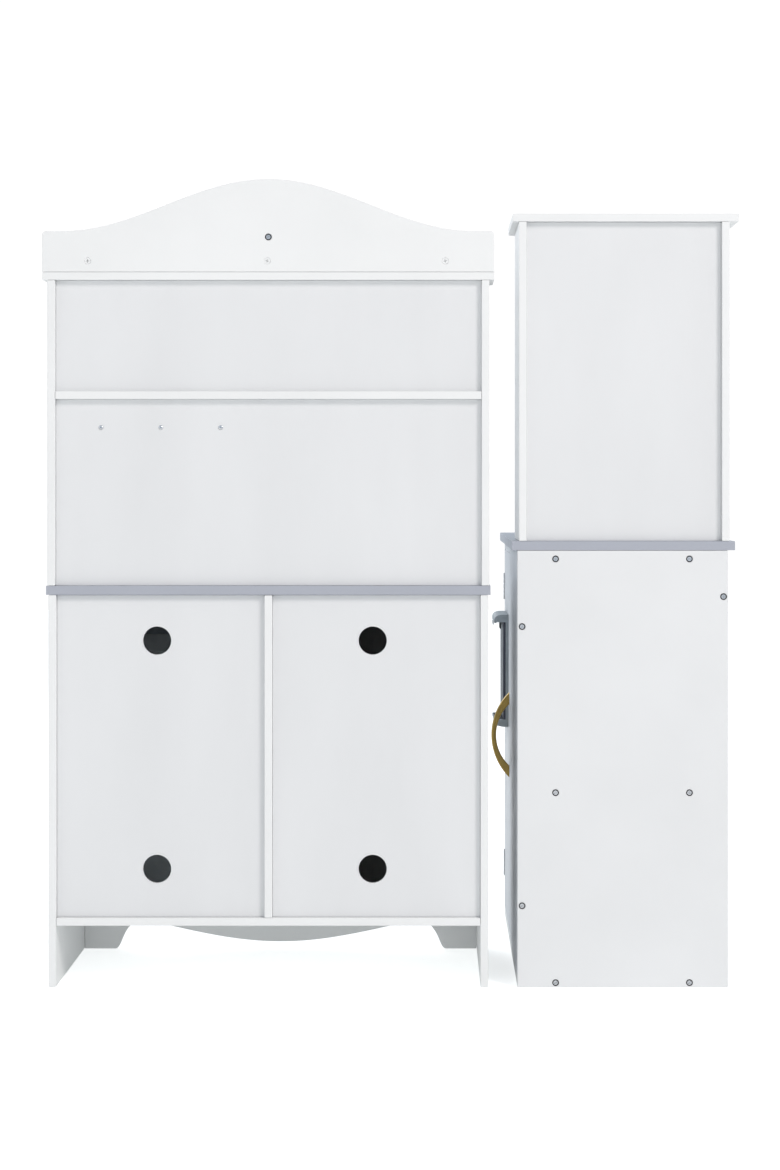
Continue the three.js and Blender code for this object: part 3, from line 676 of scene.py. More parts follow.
def merged(name: str, parts: Sequence[Piece]) -> Piece:
    """Joins parts of one finish into one piece.

    Args:
        name: the piece's name.
        parts: they are used up.

    Returns:
        The joined piece.
    """
    bm = bmesh.new()
    for part in parts:
        bm.from_mesh(part.data)
        bpy.data.objects.remove(part)
    mesh = bpy.data.meshes.new(name)
    bm.to_mesh(mesh)
    bm.free()
    return linked(name, mesh)


def settled(piece: Piece) -> Piece:
    """Applies a piece's modifiers to its mesh.

    Args:
        piece: an object with modifiers.

    Returns:
        The same object, with a plain mesh.
    """
    graph = bpy.context.evaluated_depsgraph_get()
    mesh = bpy.data.meshes.new_from_object(piece.evaluated_get(graph), depsgraph=graph)
    piece.modifiers.clear()
    piece.data = mesh
    return piece


def ease_edges(piece: Piece, width: float, angle_deg: float = 35.0) -> None:
    """Rounds a piece's sharp edges with a modifier.

    Args:
        piece: the object.
        width: how far the rounding reaches.
        angle_deg: edges that bend more than this are rounded.
    """
    bevel = piece.modifiers.new("ease", "BEVEL")
    bevel.width = width
    bevel.segments = EASE_SEGMENTS
    bevel.limit_method = "ANGLE"
    bevel.angle_limit = math.radians(angle_deg)


def prism(name: str, place: Matrix, outline: Profile, depth: float, ease: float) -> Piece:
    """A flat outline given a depth, with eased edges.

    Args:
        name: the piece's name.
        place: the outline lies in local x and y, and the depth runs along local z.
        outline: its corners, anticlockwise.
        depth: its thickness.
        ease: the radius of its eased edges.

    Returns:
        The new piece.
    """
    piece = lofted(name, [[place @ Vector((x, y, z)) for x, y in outline] for z in (0.0, depth)])
    ease_edges(piece, ease)
    return settled(piece)


# ---- repeated hardware, by Geometry Nodes


class Repeater(NodeTree):
    """A Geometry Nodes tree that repeats one small part and ends in a plain mesh."""

    def __init__(self, name: str) -> None:
        """Starts a tree of that name, with the part and its finish as inputs."""
        self.tree = bpy.data.node_groups.new(name, "GeometryNodeTree")
        self.socket("Points", "NodeSocketGeometry")
        self.socket("Part", "NodeSocketObject")
        self.socket("Finish", "NodeSocketMaterial")
        self.tree.interface.new_socket(name="Result", in_out="OUTPUT", socket_type="NodeSocketGeometry")
        self.inputs = self.tree.nodes.new("NodeGroupInput")
        self.output = self.tree.nodes.new("NodeGroupOutput")

    def socket(self, name: str, kind: str, default: object = None) -> None:
        """Adds a named input with its default."""
        made = self.tree.interface.new_socket(name=name, in_out="INPUT", socket_type=kind)
        if default is not None:
            made.default_value = default

    def close(self, points: Socket, rotation: Socket | None = None) -> None:
        """Puts the part on every point, makes it real geometry and gives it the finish.

        Args:
            points: where the parts go.
            rotation: how each is turned.
        """
        part = self.node("GeometryNodeObjectInfo", Object=self.inputs.outputs["Part"])
        placed = self.node("GeometryNodeInstanceOnPoints", Points=points, Instance=part.outputs["Geometry"])
        if rotation is not None:
            self.tree.links.new(rotation, placed.inputs["Rotation"])
        real = self.node("GeometryNodeRealizeInstances", Geometry=placed.outputs["Instances"])
        dressed = self.node("GeometryNodeSetMaterial", Geometry=real.outputs["Geometry"],
            Material=self.inputs.outputs["Finish"])
        self.tree.links.new(dressed.outputs["Geometry"], self.output.inputs["Result"])

    def make(self, name: str, part: Piece, finish: Finish, points: bpy.types.Mesh | None = None,
            **sizes: object) -> Piece:
        """Runs the tree and keeps its result as a plain mesh.

        Args:
            name: the piece's name.
            part: the small part. It stays, so that it can be used again.
            finish: the finish of the result.
            points: a mesh with a vertex for each part, where the tree needs one.
            **sizes: the tree's own inputs by name.

        Returns:
            The new piece, with no modifier left on it.
        """
        piece = linked(name, points or bpy.data.meshes.new(name))
        modifier = piece.modifiers.new("repeat", "NODES")
        modifier.node_group = self.tree
        values = {"Part": part, "Finish": finish.material(),
            **{k.replace("_", " "): v for k, v in sizes.items()}}
        for item in self.tree.interface.items_tree:
            if item.in_out == "INPUT" and item.name in values:
                modifier[item.identifier] = values[item.name]
        return settled(piece)


class Spread(Repeater):
    """Parts on chosen points. Each looks along its point's aim and has a turn of its own."""

    def __init__(self) -> None:
        """Builds the tree."""
        super().__init__("spread_on_points")
        self.socket("Largest Turn", "NodeSocketFloat", math.tau)
        self.socket("Seed", "NodeSocketInt", 7)
        aim = self.tree.nodes.new("GeometryNodeInputNamedAttribute")
        aim.data_type = "FLOAT_VECTOR"
        aim.inputs["Name"].default_value = "aim"
        align = self.node("FunctionNodeAlignRotationToVector", Vector=aim.outputs["Attribute"])
        align.axis = "Z"
        turn = self.tree.nodes.new("FunctionNodeRandomValue")
        turn.data_type = "FLOAT"
        floats = [s for s in turn.inputs if s.type == "VALUE"]
        self.tree.links.new(self.inputs.outputs["Largest Turn"], floats[1])
        self.tree.links.new(self.inputs.outputs["Seed"], turn.inputs["Seed"])
        spin = self.node("FunctionNodeAxisAngleToRotation",
            Angle=[s for s in turn.outputs if s.type == "VALUE"][0])
        both = self.node("FunctionNodeRotateRotation", Rotation=align.outputs["Rotation"],
            Rotate_By=spin.outputs["Rotation"])
        both.rotation_space = "LOCAL"
        self.close(self.inputs.outputs["Points"], both.outputs["Rotation"])

    @staticmethod
    def points(spots: Sequence[tuple[Vector, Vector]]) -> bpy.types.Mesh:
        """A mesh with one vertex for each spot.

        Args:
            spots: (place, the way that the part looks).

        Returns:
            The mesh, with its aim attribute.
        """
        mesh = bpy.data.meshes.new("spots")
        mesh.from_pydata([place for place, _ in spots], [], [])
        aim = mesh.attributes.new("aim", "FLOAT_VECTOR", "POINT")
        aim.data.foreach_set("vector", [value for _, way in spots for value in way])
        return mesh


class Row(Repeater):
    """Parts in a straight row, at an even step."""

    def __init__(self) -> None:
        """Builds the tree."""
        super().__init__("row_of_parts")
        self.socket("Count", "NodeSocketInt", 5)
        self.socket("First Place", "NodeSocketVector")
        self.socket("Step", "NodeSocketVector")
        line = self.node("GeometryNodeMeshLine", Count=self.inputs.outputs["Count"],
            Start_Location=self.inputs.outputs["First Place"], Offset=self.inputs.outputs["Step"])
        line.mode = "OFFSET"
        self.close(line.outputs["Mesh"])


class Dial(Repeater):
    """Parts on an arc about the origin in X and Z, each turned with its place, as on a dial seen from -Y."""

    def __init__(self) -> None:
        """Builds the tree: each part stands at radius and looks out along the spoke."""
        super().__init__("marks_on_a_dial")
        self.socket("Count", "NodeSocketInt", 12)
        for name, default in (("Radius", 0.03), ("First Angle", 0.0), ("Angle Step", math.radians(30))):
            self.socket(name, "NodeSocketFloat", default)
        self.socket("Middle", "NodeSocketVector")
        line = self.node("GeometryNodeMeshLine", Count=self.inputs.outputs["Count"])
        index = self.tree.nodes.new("GeometryNodeInputIndex")
        swept_angle = self.maths("MULTIPLY", index.outputs["Index"], self.inputs.outputs["Angle Step"])
        angle = self.maths("ADD", swept_angle, self.inputs.outputs["First Angle"])
        across = self.maths("MULTIPLY", self.maths("SINE", angle), self.inputs.outputs["Radius"])
        up = self.maths("MULTIPLY", self.maths("COSINE", angle), self.inputs.outputs["Radius"])
        spoke = self.node("ShaderNodeCombineXYZ", X=across, Z=up)
        place = self.tree.nodes.new("ShaderNodeVectorMath")
        place.operation = "ADD"
        self.tree.links.new(spoke.outputs["Vector"], place.inputs[0])
        self.tree.links.new(self.inputs.outputs["Middle"], place.inputs[1])
        moved = self.node("GeometryNodeSetPosition", Geometry=line.outputs["Mesh"],
            Position=place.outputs["Vector"])
        turn = self.node("ShaderNodeCombineXYZ", Y=angle)
        rotation = self.node("FunctionNodeEulerToRotation", Euler=turn.outputs["Vector"])
        self.close(moved.outputs["Geometry"], rotation.outputs["Rotation"])

    def maths(self, operation: str, *values: Socket) -> Socket:
        """Adds one sum of the tree's arithmetic and returns its result."""
        node = self.tree.nodes.new("ShaderNodeMath")
        node.operation = operation
        for socket, value in zip(node.inputs, values):
            self.tree.links.new(value, socket)
        return node.outputs["Value"]


# ---- boards and bored holes


@dataclass(frozen=True)
class Face:
    """One side of a board: its place, its outline on that side and the board's depth behind it."""

    place: Matrix
    ring: Ring
    depth: float

    @classmethod
    def of(cls, node: str, facing: Facing, corner: float = 1.0 * MM) -> "Face":
        """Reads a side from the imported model.

        Args:
            node: the board's CAD node.
            facing: which side.
            corner: the corner radius of its outline.

        Returns:
            The side.
        """
        axes = (facing.across, facing.along, facing.outward)
        spans = [sorted(corner_point.dot(axis) for corner_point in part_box(node)) for axis in axes]
        outline = Ring((spans[0][0], spans[1][0]), (spans[0][1], spans[1][1]), 0.0, corner)
        return cls(facing.matrix(facing.outward * spans[2][1]), outline, spans[2][1] - spans[2][0])

    def plate(self, name: str, ease: float = 1.0 * MM, front: Sequence[Ring] = ()) -> Piece:
        """The board with eased edges, and with more rings that shape its face."""
        return skin(name, self.place, [*eased(self.ring, self.depth, ease), *front])


def bored(piece: Piece, cutters: Sequence[Piece]) -> Piece:
    """Cuts shapes out of a piece.

    Args:
        piece: the piece.
        cutters: closed shapes that don't overlap. They are used up.

    Returns:
        The same piece.
    """
    tool = merged("cutter", cutters)
    cut = piece.modifiers.new("bore", "BOOLEAN")
    cut.operation = "DIFFERENCE"
    cut.solver = "EXACT"
    cut.object = tool
    settled(piece)
    bpy.data.objects.remove(tool)
    smooth(piece.data)
    return piece


def drill(radius: float, low: float, high: float, place: Matrix, segments: int = 32) -> Piece:
    """A cylinder that cuts a hole, from low to high along a place's local z."""
    return turned("drill", [(0, low), (radius, low), (radius, high), (0, high)], place, segments)


def box_piece(name: str, low: Point, high: Point, ease: float = 0.4 * MM) -> Piece:
    """A small block with eased edges, between two corners."""
    lowest, highest = (Vector(map(pick, low, high)) for pick in (min, max))
    outline = Ring((lowest.x, lowest.y), (highest.x, highest.y), 0.0, ease)
    return skin(name, Facing.UP.matrix((0, 0, highest.z)), eased(outline, highest.z - lowest.z, ease),
        steps=2)


class Head(Enum):
    """The kitchen's screw heads: the head's radius, and how far it stands over its seat."""

    BOARD = (4.0 * MM, 0.0)
    LEAF = (1.7 * MM, 0.25 * MM)
    STRAP = (3.0 * MM, 1.5 * MM)
    # Not a head: a thin dark ring over the gap round a sunk head, painted shade of the countersink.
    RIM = (4.25 * MM, 0.12 * MM)

    @property
    def radius(self) -> float:
        """The head's radius."""
        return self.value[0]

    def part(self) -> Piece:
        """The head with its cross recess. Its seat is at the origin and it looks along +Z."""
        r, top = self.value
        # The dark ring of painted shade that lies over the countersink's gap.
        if self is Head.RIM:
            profile = [(0.7 * r, -0.1 * r), (r, -0.1 * r), (r, 0.5 * top), (0.97 * r, top), (0.73 * r, top),
                (0.7 * r, 0.5 * top)]
            return ring_of(profile, "head_rim", Matrix.Identity(4), 36)
        if self is Head.BOARD:
            profile = [(0, -0.62 * r), (0.45 * r, -0.62 * r), (r, -0.07 * r), (0.97 * r, 0), (0, 0)]
        elif self is Head.LEAF:
            profile = [(0, -0.1 * r), (r, -0.1 * r), (r, 0.3 * top), (0.85 * r, top), (0, top)]
        else:
            dome = [(r * math.cos(a), top * (0.3 + 0.7 * math.sin(a)))
                for a in (math.radians(15 * step) for step in range(6))]
            profile = [(0, -0.03 * r), (r, -0.03 * r), *dome, (0, top)]
        head = turned(f"head_{self.name.lower()}", profile, Matrix.Identity(4), 28)
        deep = top - (0.5 * r if top < 1 * MM else 0.6 * top)
        arms = []
        for turn in (0, 90):
            place = Matrix.Rotation(math.radians(turn), 4, "Z")
            floor = Ring((-0.42 * r, -0.07 * r), (0.42 * r, 0.07 * r), deep, 0.02 * r)
            mouth = Ring((-0.62 * r, -0.12 * r), (0.62 * r, 0.12 * r), top + 0.2 * r, 0.03 * r)
            arms.append(skin("arm", place, [floor, mouth], steps=1))
        for arm in arms:
            bored(head, [arm])
        return head


@dataclass(frozen=True)
class Spot:
    """A screw's place on a board's side, and which way it looks."""

    place: Vector
    way: Vector

    @classmethod
    def on(cls, face: Face, across: float, along: float, sunk: float = 0.0) -> "Spot":
        """A spot at local coordinates of a side, sunk under it."""
        return cls(face.place @ Vector((across, along, -sunk)), face.place.to_3x3() @ Z_WAY)

    def pocket(self, head: Head) -> Piece:
        """The shape that cuts a countersink for a head whose face lies at this spot."""
        r = head.radius
        profile = [(0, -0.75 * r), (0.55 * r, -0.75 * r), (1.02 * r, -0.1 * r), (1.3 * r, 0.2 * r),
            (0, 0.2 * r)]
        turn = self.way.to_track_quat("Z", "Y").to_matrix().to_4x4()
        return turned("pocket", profile, Matrix.Translation(self.place) @ turn, 36)


class Hardware:
    """The kitchen's small repeated parts, and the trees that repeat them."""

    def __init__(self) -> None:
        """Builds the trees and the screw heads."""
        self.spread = Spread()
        self.row = Row()
        self.dial = Dial()
        self.heads = {head: head.part() for head in Head}
        self.parts = list(self.heads.values())

    def keep(self, part: Piece) -> Piece:
        """Books a part that a tree repeats, so that it is put away at the end."""
        self.parts.append(part)
        return part

    def mark(self, name: str, half_mm: Point, ease: float = 0.08 * MM) -> Piece:
        """Books a small block about the origin, from half its sizes in millimetres."""
        return self.keep(box_piece(name, [-half * MM for half in half_mm], [half * MM for half in half_mm],
            ease))

    def put_away(self) -> None:
        """Removes the parts that the trees have repeated."""
        for part in self.parts:
            bpy.data.objects.remove(part)


@dataclass
class Assembly:
    """A sub-assembly. It books each piece on its body, with its finish."""

    hardware: Hardware
    count: int = 0

    def build(self) -> None:
        """Makes the sub-assembly's pieces."""
        raise NotImplementedError

    def add(self, piece: Piece, finish: Finish, body: str = ROOT, *nodes: str) -> Piece:
        """Dresses a finished piece and puts it on its body.

        Args:
            piece: the piece, in place.
            finish: its finish.
            body: the body that it moves with.
            *nodes: the CAD nodes that it stands for.

        Returns:
            The same piece.
        """
        finish.dress(piece)
        weigh = piece.modifiers.new("flat_faces", "WEIGHTED_NORMAL")
        weigh.keep_sharp = True
        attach(piece, body)
        if nodes:
            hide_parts(*nodes)
        self.count += 1
        log.info("  %s rides on %s, in %s", piece.name, body, finish.name)
        return piece

    def keep(self, finish: Finish, *nodes: str, ease: float = 1.0 * MM) -> None:
        """Keeps CAD boards as they are, with eased edges and a finish.

        Args:
            finish: their finish.
            *nodes: the CAD nodes.
            ease: the radius of their edges.
        """
        for node in nodes:
            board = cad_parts[node]
            for slot in board.material_slots:
                slot.material = finish.material()
            weld = board.modifiers.new("close_edges", "WELD")
            weld.merge_threshold = WELD_GAP
            ease_edges(board, ease, angle_deg=40.0)
            self.count += 1
            log.info("  %s is the packed board, in %s", node, finish.name)

    def screws(self, name: str, head: Head, spots: Sequence[Spot], finish: Finish,
            body: str = ROOT) -> None:
        """Sets a group of screws.

        Args:
            name: the group's name.
            head: the kind of head.
            spots: where each sits and looks.
            finish: their finish.
            body: the body that they move with.
        """
        points = Spread.points([(spot.place, spot.way) for spot in spots])
        tree = self.hardware.spread
        self.add(tree.make(name, self.hardware.heads[head], finish, points, Seed=len(name)), finish, body)

    def sides(self, name: str, board: str, shares: Sequence[float]) -> None:
        """Makes a left and a right side, screwed from outside to the board between them.

        Args:
            name: the start of the sides' names.
            board: the CAD node between them.
            shares: each screw's place, as a share of the board's depth.
        """
        low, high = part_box(board)
        level = (low.z + high.z) / 2
        depths = [low.y + share * (high.y - low.y) for share in shares]
        for node, facing, sign in ((f"{name}_left", Facing.LEFT, -1), (f"{name}_right", Facing.RIGHT, 1)):
            self.screwed_board(node, facing, [(sign * depth, level) for depth in depths], WHITE)

    def screwed_board(self, node: str, facing: Facing, spots: Profile, finish: Finish) -> None:
        """Makes a board with countersunk screws in one side.

        Args:
            node: the CAD node that it stands for.
            facing: the side with the screws.
            spots: each screw's place on the side's own right and up.
            finish: the board's finish.
        """
        face = Face.of(node, facing)
        places = [Spot.on(face, across, along, 0.5 * MM) for across, along in spots]
        board = bored(face.plate(f"{node}_board"), [spot.pocket(Head.BOARD) for spot in places])
        self.add(board, finish, ROOT, node)
        self.screws(f"{node}_screws", Head.BOARD, places, CHROME)
        # A dark ring over each pocket's gap round the head: painted shade.
        self.screws(f"{node}_screw_rims", Head.RIM, places, BLACKENED_AND_SHADE)


# ---- main unit


@dataclass
class MainUnit(Assembly):
    """The base of the main unit: sides, divider, floor, wavy skirt, back sheets and worktop."""

    hole_radius: float = 18.3 * MM
    hole_heights: tuple[float, float] = (152.7 * MM, 450.3 * MM)
    hole_shift: float = 5 * MM
    foot_inner: float = 232 * MM
    belly_low: float = 10 * MM
    belly_rise: float = 21 * MM
    belly_wave: float = 300 * MM
    belly_end: float = 200 * MM

    def build(self) -> None:
        """Makes the base."""
        self.keep(WHITE, "main_divider", "main_floor")
        self.keep(LAVENDER, "main_worktop", ease=1.6 * MM)
        self.sides("main_side", "main_floor", (0.12, 0.5, 0.88))
        for node in ("main_back_left", "main_back_right"):
            self.back_sheet(node)
        self.skirt()

    def back_sheet(self, node: str) -> None:
        """One sunk back sheet with its two round cable holes."""
        face = Face.of(node, Facing.BACK, 0.4 * MM)
        centre = (face.ring.low[0] + face.ring.high[0]) / 2 - self.hole_shift
        cutters = []
        for height in self.hole_heights:
            place = face.place @ Matrix.Translation((centre, height, 0))
            mouth = 0.5 * MM
            r, back = self.hole_radius, -face.depth
            profile = [(0, back - 1 * MM), (r + mouth, back - 1 * MM), (r + mouth, back), (r, back + mouth),
                (r, -mouth), (r + mouth, 0), (r + mouth, 1 * MM), (0, 1 * MM)]
            cutters.append(turned("hole", profile, place, 72))
        self.add(bored(face.plate(f"{node}_sheet", 0.4 * MM), cutters), SHEET, ROOT, node)

    def skirt(self) -> None:
        """The board between the feet: a long wave that turns down into each foot."""
        low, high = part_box("main_skirt")
        middle, half = (low.x + high.x) / 2, (high.x - low.x) / 2

        def wave(x: float) -> float:
            """The height of the long wave."""
            return self.belly_low + self.belly_rise * (1 - math.cos(math.pi * x / self.belly_wave))

        peak = wave(self.belly_end)
        foot = [Vector((self.foot_inner, 0)), Vector((self.foot_inner - 10 * MM, 2 * MM)),
            Vector((self.belly_end + 26 * MM, 26 * MM)), Vector((self.belly_end, peak))]
        side = bezier(foot, 12)
        belly = [Vector((x, wave(x))) for x in (self.belly_end * (1 - step / 32) for step in range(1, 64))]
        edge = [(p.x, p.y) for p in side] + [(p.x, p.y) for p in belly] + [(-p.x, p.y)
            for p in reversed(side)]
        outline = [(-half, 0), (-half, high.z), (half, high.z), (half, 0), *edge]
        place = Facing.FRONT.matrix((middle, high.y, 0))
        board = prism("main_skirt_board", place, list(reversed(outline)), high.y - low.y, 0.8 * MM)
        self.add(board, WHITE, ROOT, "main_skirt")


# ---- hutch


@dataclass
class Hutch(Assembly):
    """The open shelf unit over the worktop, its top board and its curved crest."""

    crest_end: float = 983.5 * MM
    crest_rise: float = 67.5 * MM
    crest_wave: float = 268 * MM
    crest_corner: float = 5 * MM
    crest_screws: tuple[float, ...] = (-71 * MM, 160.5 * MM, 394 * MM)
    crest_screw_height: float = 944.5 * MM

    def build(self) -> None:
        """Makes the hutch."""
        self.keep(WHITE, "hutch_shelf", "hutch_top", "crest_cleat")
        self.keep(SHEET, "hutch_back_lower", "hutch_back_upper", ease=0.4 * MM)
        self.sides("hutch_side", "hutch_shelf", (0.25, 0.75))
        self.crest()

    def crest(self) -> None:
        """The curved board, with three painted screws and the clock's bolt."""
        low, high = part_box("hutch_crest")
        middle, half = (low.x + high.x) / 2, (high.x - low.x) / 2
        corner = [(half - self.crest_corner * (1 - math.sin(a)),
            self.crest_end - self.crest_corner * (1 - math.cos(a)))
            for a in (math.radians(15 * step) for step in range(6, 0, -1))]
        crown = [(x, self.crest_end + self.crest_rise * (1 + math.cos(math.pi * x / self.crest_wave)) / 2)
            for x in (self.crest_wave * (1 - step / 48) for step in range(97))]
        outline = [(-half, low.z), (half, low.z), *corner, *crown, *[(-x, z) for x, z in reversed(corner)]]
        place = Facing.FRONT.matrix((middle, high.y, 0))
        board = prism("hutch_crest_board", place, outline, high.y - low.y, 1.0 * MM)
        back = Face.of("hutch_crest", Facing.BACK)
        spots = [Spot.on(back, -x, self.crest_screw_height, 0.4 * MM) for x in self.crest_screws]
        x, _, z = middle_of("clock_dial")
        bolt = Spot.on(back, -x, z, 0.8 * MM)
        self.add(bored(board, [spot.pocket(Head.BOARD) for spot in (*spots, bolt)]), WHITE, ROOT,
            "hutch_crest")
        self.screws("hutch_crest_screws", Head.BOARD, spots, WHITE)
        self.screws("clock_bolt", Head.BOARD, [bolt], CHROME)
        # A dark ring round the clock's bolt: painted shade of its countersink's gap.
        self.screws("clock_bolt_rim", Head.RIM, [bolt], BLACKENED_AND_SHADE)


# ---- corner unit


@dataclass
class CornerUnit(Assembly):
    """The boards of the corner unit. Its end boards are screwed to every board between them."""

    def build(self) -> None:
        """Makes the corner unit's case."""
        self.keep(WHITE, "corner_floor", "corner_shelf", "corner_top_board", "corner_back_rail")
        self.keep(PALE_GREY, "corner_front_panel")
        self.keep(SHEET, "corner_back_sheet", ease=0.4 * MM)
        self.keep(LAVENDER, "corner_worktop", ease=1.6 * MM)
        spots = self.spots()
        # The end boards wear the darker copy of the white lacquer: painted shade.
        self.screwed_board("corner_end_back", Facing.BACK, [(-x, z) for x, z in spots], SHADED_END_WHITE)
        self.screwed_board("corner_end_front", Facing.FRONT, spots, SHADED_END_WHITE)

    def spots(self) -> list[tuple[float, float]]:
        """The places of the nine screws, by X and Z: two in each level board, the rest in upright ones."""
        shelf_low, shelf_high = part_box("corner_shelf")
        inset = 0.135 * (shelf_high.x - shelf_low.x)
        pair = (shelf_low.x + inset, shelf_high.x - 1.1 * inset)
        levels = [middle_of(node)[2] for node in ("corner_floor", "corner_shelf", "corner_top_board")]
        front, (rail_x, _, rail_z) = middle_of("corner_front_panel")[0], middle_of("corner_back_rail")
        upright = [(front, 106 * MM), (front, 469 * MM), (rail_x, rail_z)]
        return [(x, z) for z in levels for x in pair] + upright


# ---- tower


@dataclass
class Tower(Assembly):
    """The case of the microwave tower."""

    def build(self) -> None:
        """Makes the case."""
        self.keep(WHITE, "tower_shelf", "tower_top")
        self.keep(SHEET, "tower_back", ease=0.4 * MM)
        self.sides("tower_side", "tower_shelf", (0.2, 0.8))


# ---- fittings that several units share


@dataclass(frozen=True)
class Bow:
    """A bow handle: two arcs that meet the door in a broad foot at each end."""

    span: float = 122 * MM
    rise: float = 25.6 * MM
    foot: float = 17 * MM
    thick: float = 7 * MM
    width: float = 11 * MM
    steps: int = 44

    @staticmethod
    def over(chord: float, rise: float) -> Triple:
        """The radius, the height of the centre and the half angle of an arc over a chord."""
        radius = (chord * chord / 4 + rise * rise) / (2 * rise)
        return radius, rise - radius, math.asin(chord / 2 / radius)

    def build(self, name: str, middle: Vector, run: Vector, out: Vector) -> Piece:
        """Makes the bow.

        Args:
            name: the piece's name.
            middle: the middle of its chord, on the door's face.
            run: the way that the chord runs.
            out: away from the door.

        Returns:
            The new piece.
        """
        outer = self.over(self.span, self.rise)
        inner = self.over(self.span - 2 * self.foot, self.rise - self.thick)
        side = run.cross(out)
        centres, sections = [], []
        for step in range(self.steps + 1):
            share = 2 * step / self.steps - 1
            ends = [middle + r * math.sin(share * half) * run + (height + r * math.cos(share * half)) * out
                for r, height, half in (outer, inner)]
            reach = (ends[0] - ends[1]).length / 2
            along = (ends[0] - ends[1]).normalized()
            centres.append((ends[0] + ends[1]) / 2)
            waist = self.width / 2 * (1 - 0.14 * math.cos(share * math.pi / 2) ** 2)
            corner = min(2.6 * MM, 0.8 * reach)
            sections.append([p.x * side + p.y * along for p in rounded_loop(waist, reach, corner, 4)])
        return swept(name, centres, sections)


@dataclass(frozen=True)
class Hinge:
    """A small butt hinge: its pin lies at the corner of the door, and its leaves in the gap beside it."""

    length: float = 40 * MM
    knuckle: float = 2.2 * MM
    gap: float = 2.5 * MM
    leaf: float = 0.8 * MM
    reach: float = 11 * MM
    parts: int = 5

    @staticmethod
    def places(start: Point, end: Point, shares: Sequence[float], axes: Sequence[Vector]) -> list[Matrix]:
        """The hinges' own axes along a door's edge.

        Args:
            start: one end of the edge.
            end: the other end.
            shares: each hinge's place, as a share of the edge.
            axes: the ways towards the door, along the pin and inwards.

        Returns:
            A place for each hinge.
        """
        turn = Matrix(axes).transposed().to_4x4()
        pins = [Vector([a + share * (b - a) for a, b in zip(start, end)]) for share in shares]
        return [Matrix.Translation(pin) @ turn for pin in pins]

    def half(self, name: str, place: Matrix, on_door: bool) -> Piece:
        """One half: its knuckles, its leaf and the tongues between them.

        Args:
            name: the piece's name.
            place: the hinge's own axes.
            on_door: True for the door's half.

        Returns:
            The new piece.
        """
        pitch = self.length / self.parts
        near, far = (0.05 * MM, self.leaf) if on_door else (-self.gap + 0.05 * MM, self.leaf - self.gap)
        clear = self.knuckle + 0.4 * MM
        half = self.length / 2
        plate = Ring((near, -half), (far, half), -clear, 0.2 * MM)
        shapes = [skin("leaf", place @ Matrix.Scale(-1, 4, (0, 0, 1)),
            [plate, Ring(plate.low, plate.high, -self.reach, 0.2 * MM)], steps=1)]
        for part in range(1 if on_door else 0, self.parts, 2):
            low = -half + part * pitch + 0.15 * MM
            high = low + pitch - 0.3 * MM
            tongue = Ring((near, low), (far, high), 0.0, 0.2 * MM)
            shapes.append(skin("tongue", place @ Matrix.Scale(-1, 4, (0, 0, 1)),
                [tongue, Ring(tongue.low, tongue.high, -clear - 0.2 * MM, 0.2 * MM)], steps=1))
            barrel = place @ Matrix.Translation((0, low, 0)) @ LIE_DOWN
            r, height, ease = self.knuckle, high - low, 0.25 * MM
            shapes.append(turned("knuckle", [(0, 0), (r - ease, 0), (r, ease), (r, height - ease),
                (r - ease, height), (0, height)], barrel, 20))
        return merged(name, shapes)

    def notch(self, place: Matrix) -> Piece:
        """The shape that clears the door's corner round the knuckles."""
        clear = self.knuckle + 0.4 * MM
        low = place @ Matrix.Translation((0, -self.length / 2 - 0.4 * MM, 0))
        height = self.length + 0.8 * MM
        return drill(clear, 0, height, low @ LIE_DOWN)

    def fit(self, unit: Assembly, name: str, place: Matrix, body: str) -> None:
        """Fits both halves with their screws.

        Args:
            unit: the sub-assembly that books it.
            name: the hinge's name.
            place: the hinge's own axes.
            body: the door's body.
        """
        unit.add(self.half(f"{name}_frame_leaf", place, False), CHROME)
        unit.add(self.half(f"{name}_door_leaf", place, True), CHROME, body)
        turn = place.to_3x3()
        depth = 0.63 * self.reach
        marks = [(side * self.length * 0.3, depth) for side in (-1, 1)]
        on_frame = [Spot(place @ Vector((self.leaf - self.gap, y, z)), turn @ X_WAY) for y, z in marks]
        on_door = [Spot(place @ Vector((0.05 * MM, y, z)), turn @ -X_WAY) for y, z in marks]
        unit.screws(f"{name}_frame_screws", Head.LEAF, on_frame, CHROME)
        unit.screws(f"{name}_door_screws", Head.LEAF, on_door, CHROME, body)


@dataclass(frozen=True)
class Catch:
    """A magnetic catch: a nylon case with two steel poles, and a plate on the door."""

    length: float = 34 * MM
    height: float = 9 * MM
    depth: float = 7 * MM

    def fit(self, unit: Assembly, name: str, place: Matrix, body: str) -> None:
        """Fits the catch behind a closed door.

        Args:
            unit: the sub-assembly that books it.
            name: the catch's name.
            place: its middle on the door's inner face: local x along it, y across it, z towards the door.
            body: the door's body.
        """
        half, tall, gap = self.length / 2, self.height / 2, 1.3 * MM
        case = Ring((-half, -tall), (half, tall), -gap, 1.5 * MM)
        unit.add(skin(f"{name}_case", raised(place, -gap), eased(case.moved(0, 0), self.depth, 0.6 * MM),
            steps=3), NYLON)
        poles = []
        for side in (-1, 1):
            bar = Ring((-0.3 * half, side * 1.8 * MM - 0.5 * MM), (0.3 * half, side * 1.8 * MM + 0.5 * MM))
            poles.append(skin("pole", raised(place, -gap + 0.25 * MM), eased(bar, 2 * MM, 0.1 * MM),
                steps=1))
        unit.add(merged(f"{name}_poles", poles), CHROME)
        plate = Ring((-0.42 * half, -0.8 * tall), (0.42 * half, 0.8 * tall), 0.0, 1.2 * MM)
        unit.add(skin(f"{name}_door_plate", raised(place, 0.02 * MM), eased(plate, 0.8 * MM, 0.2 * MM),
            steps=3), CHROME, body)


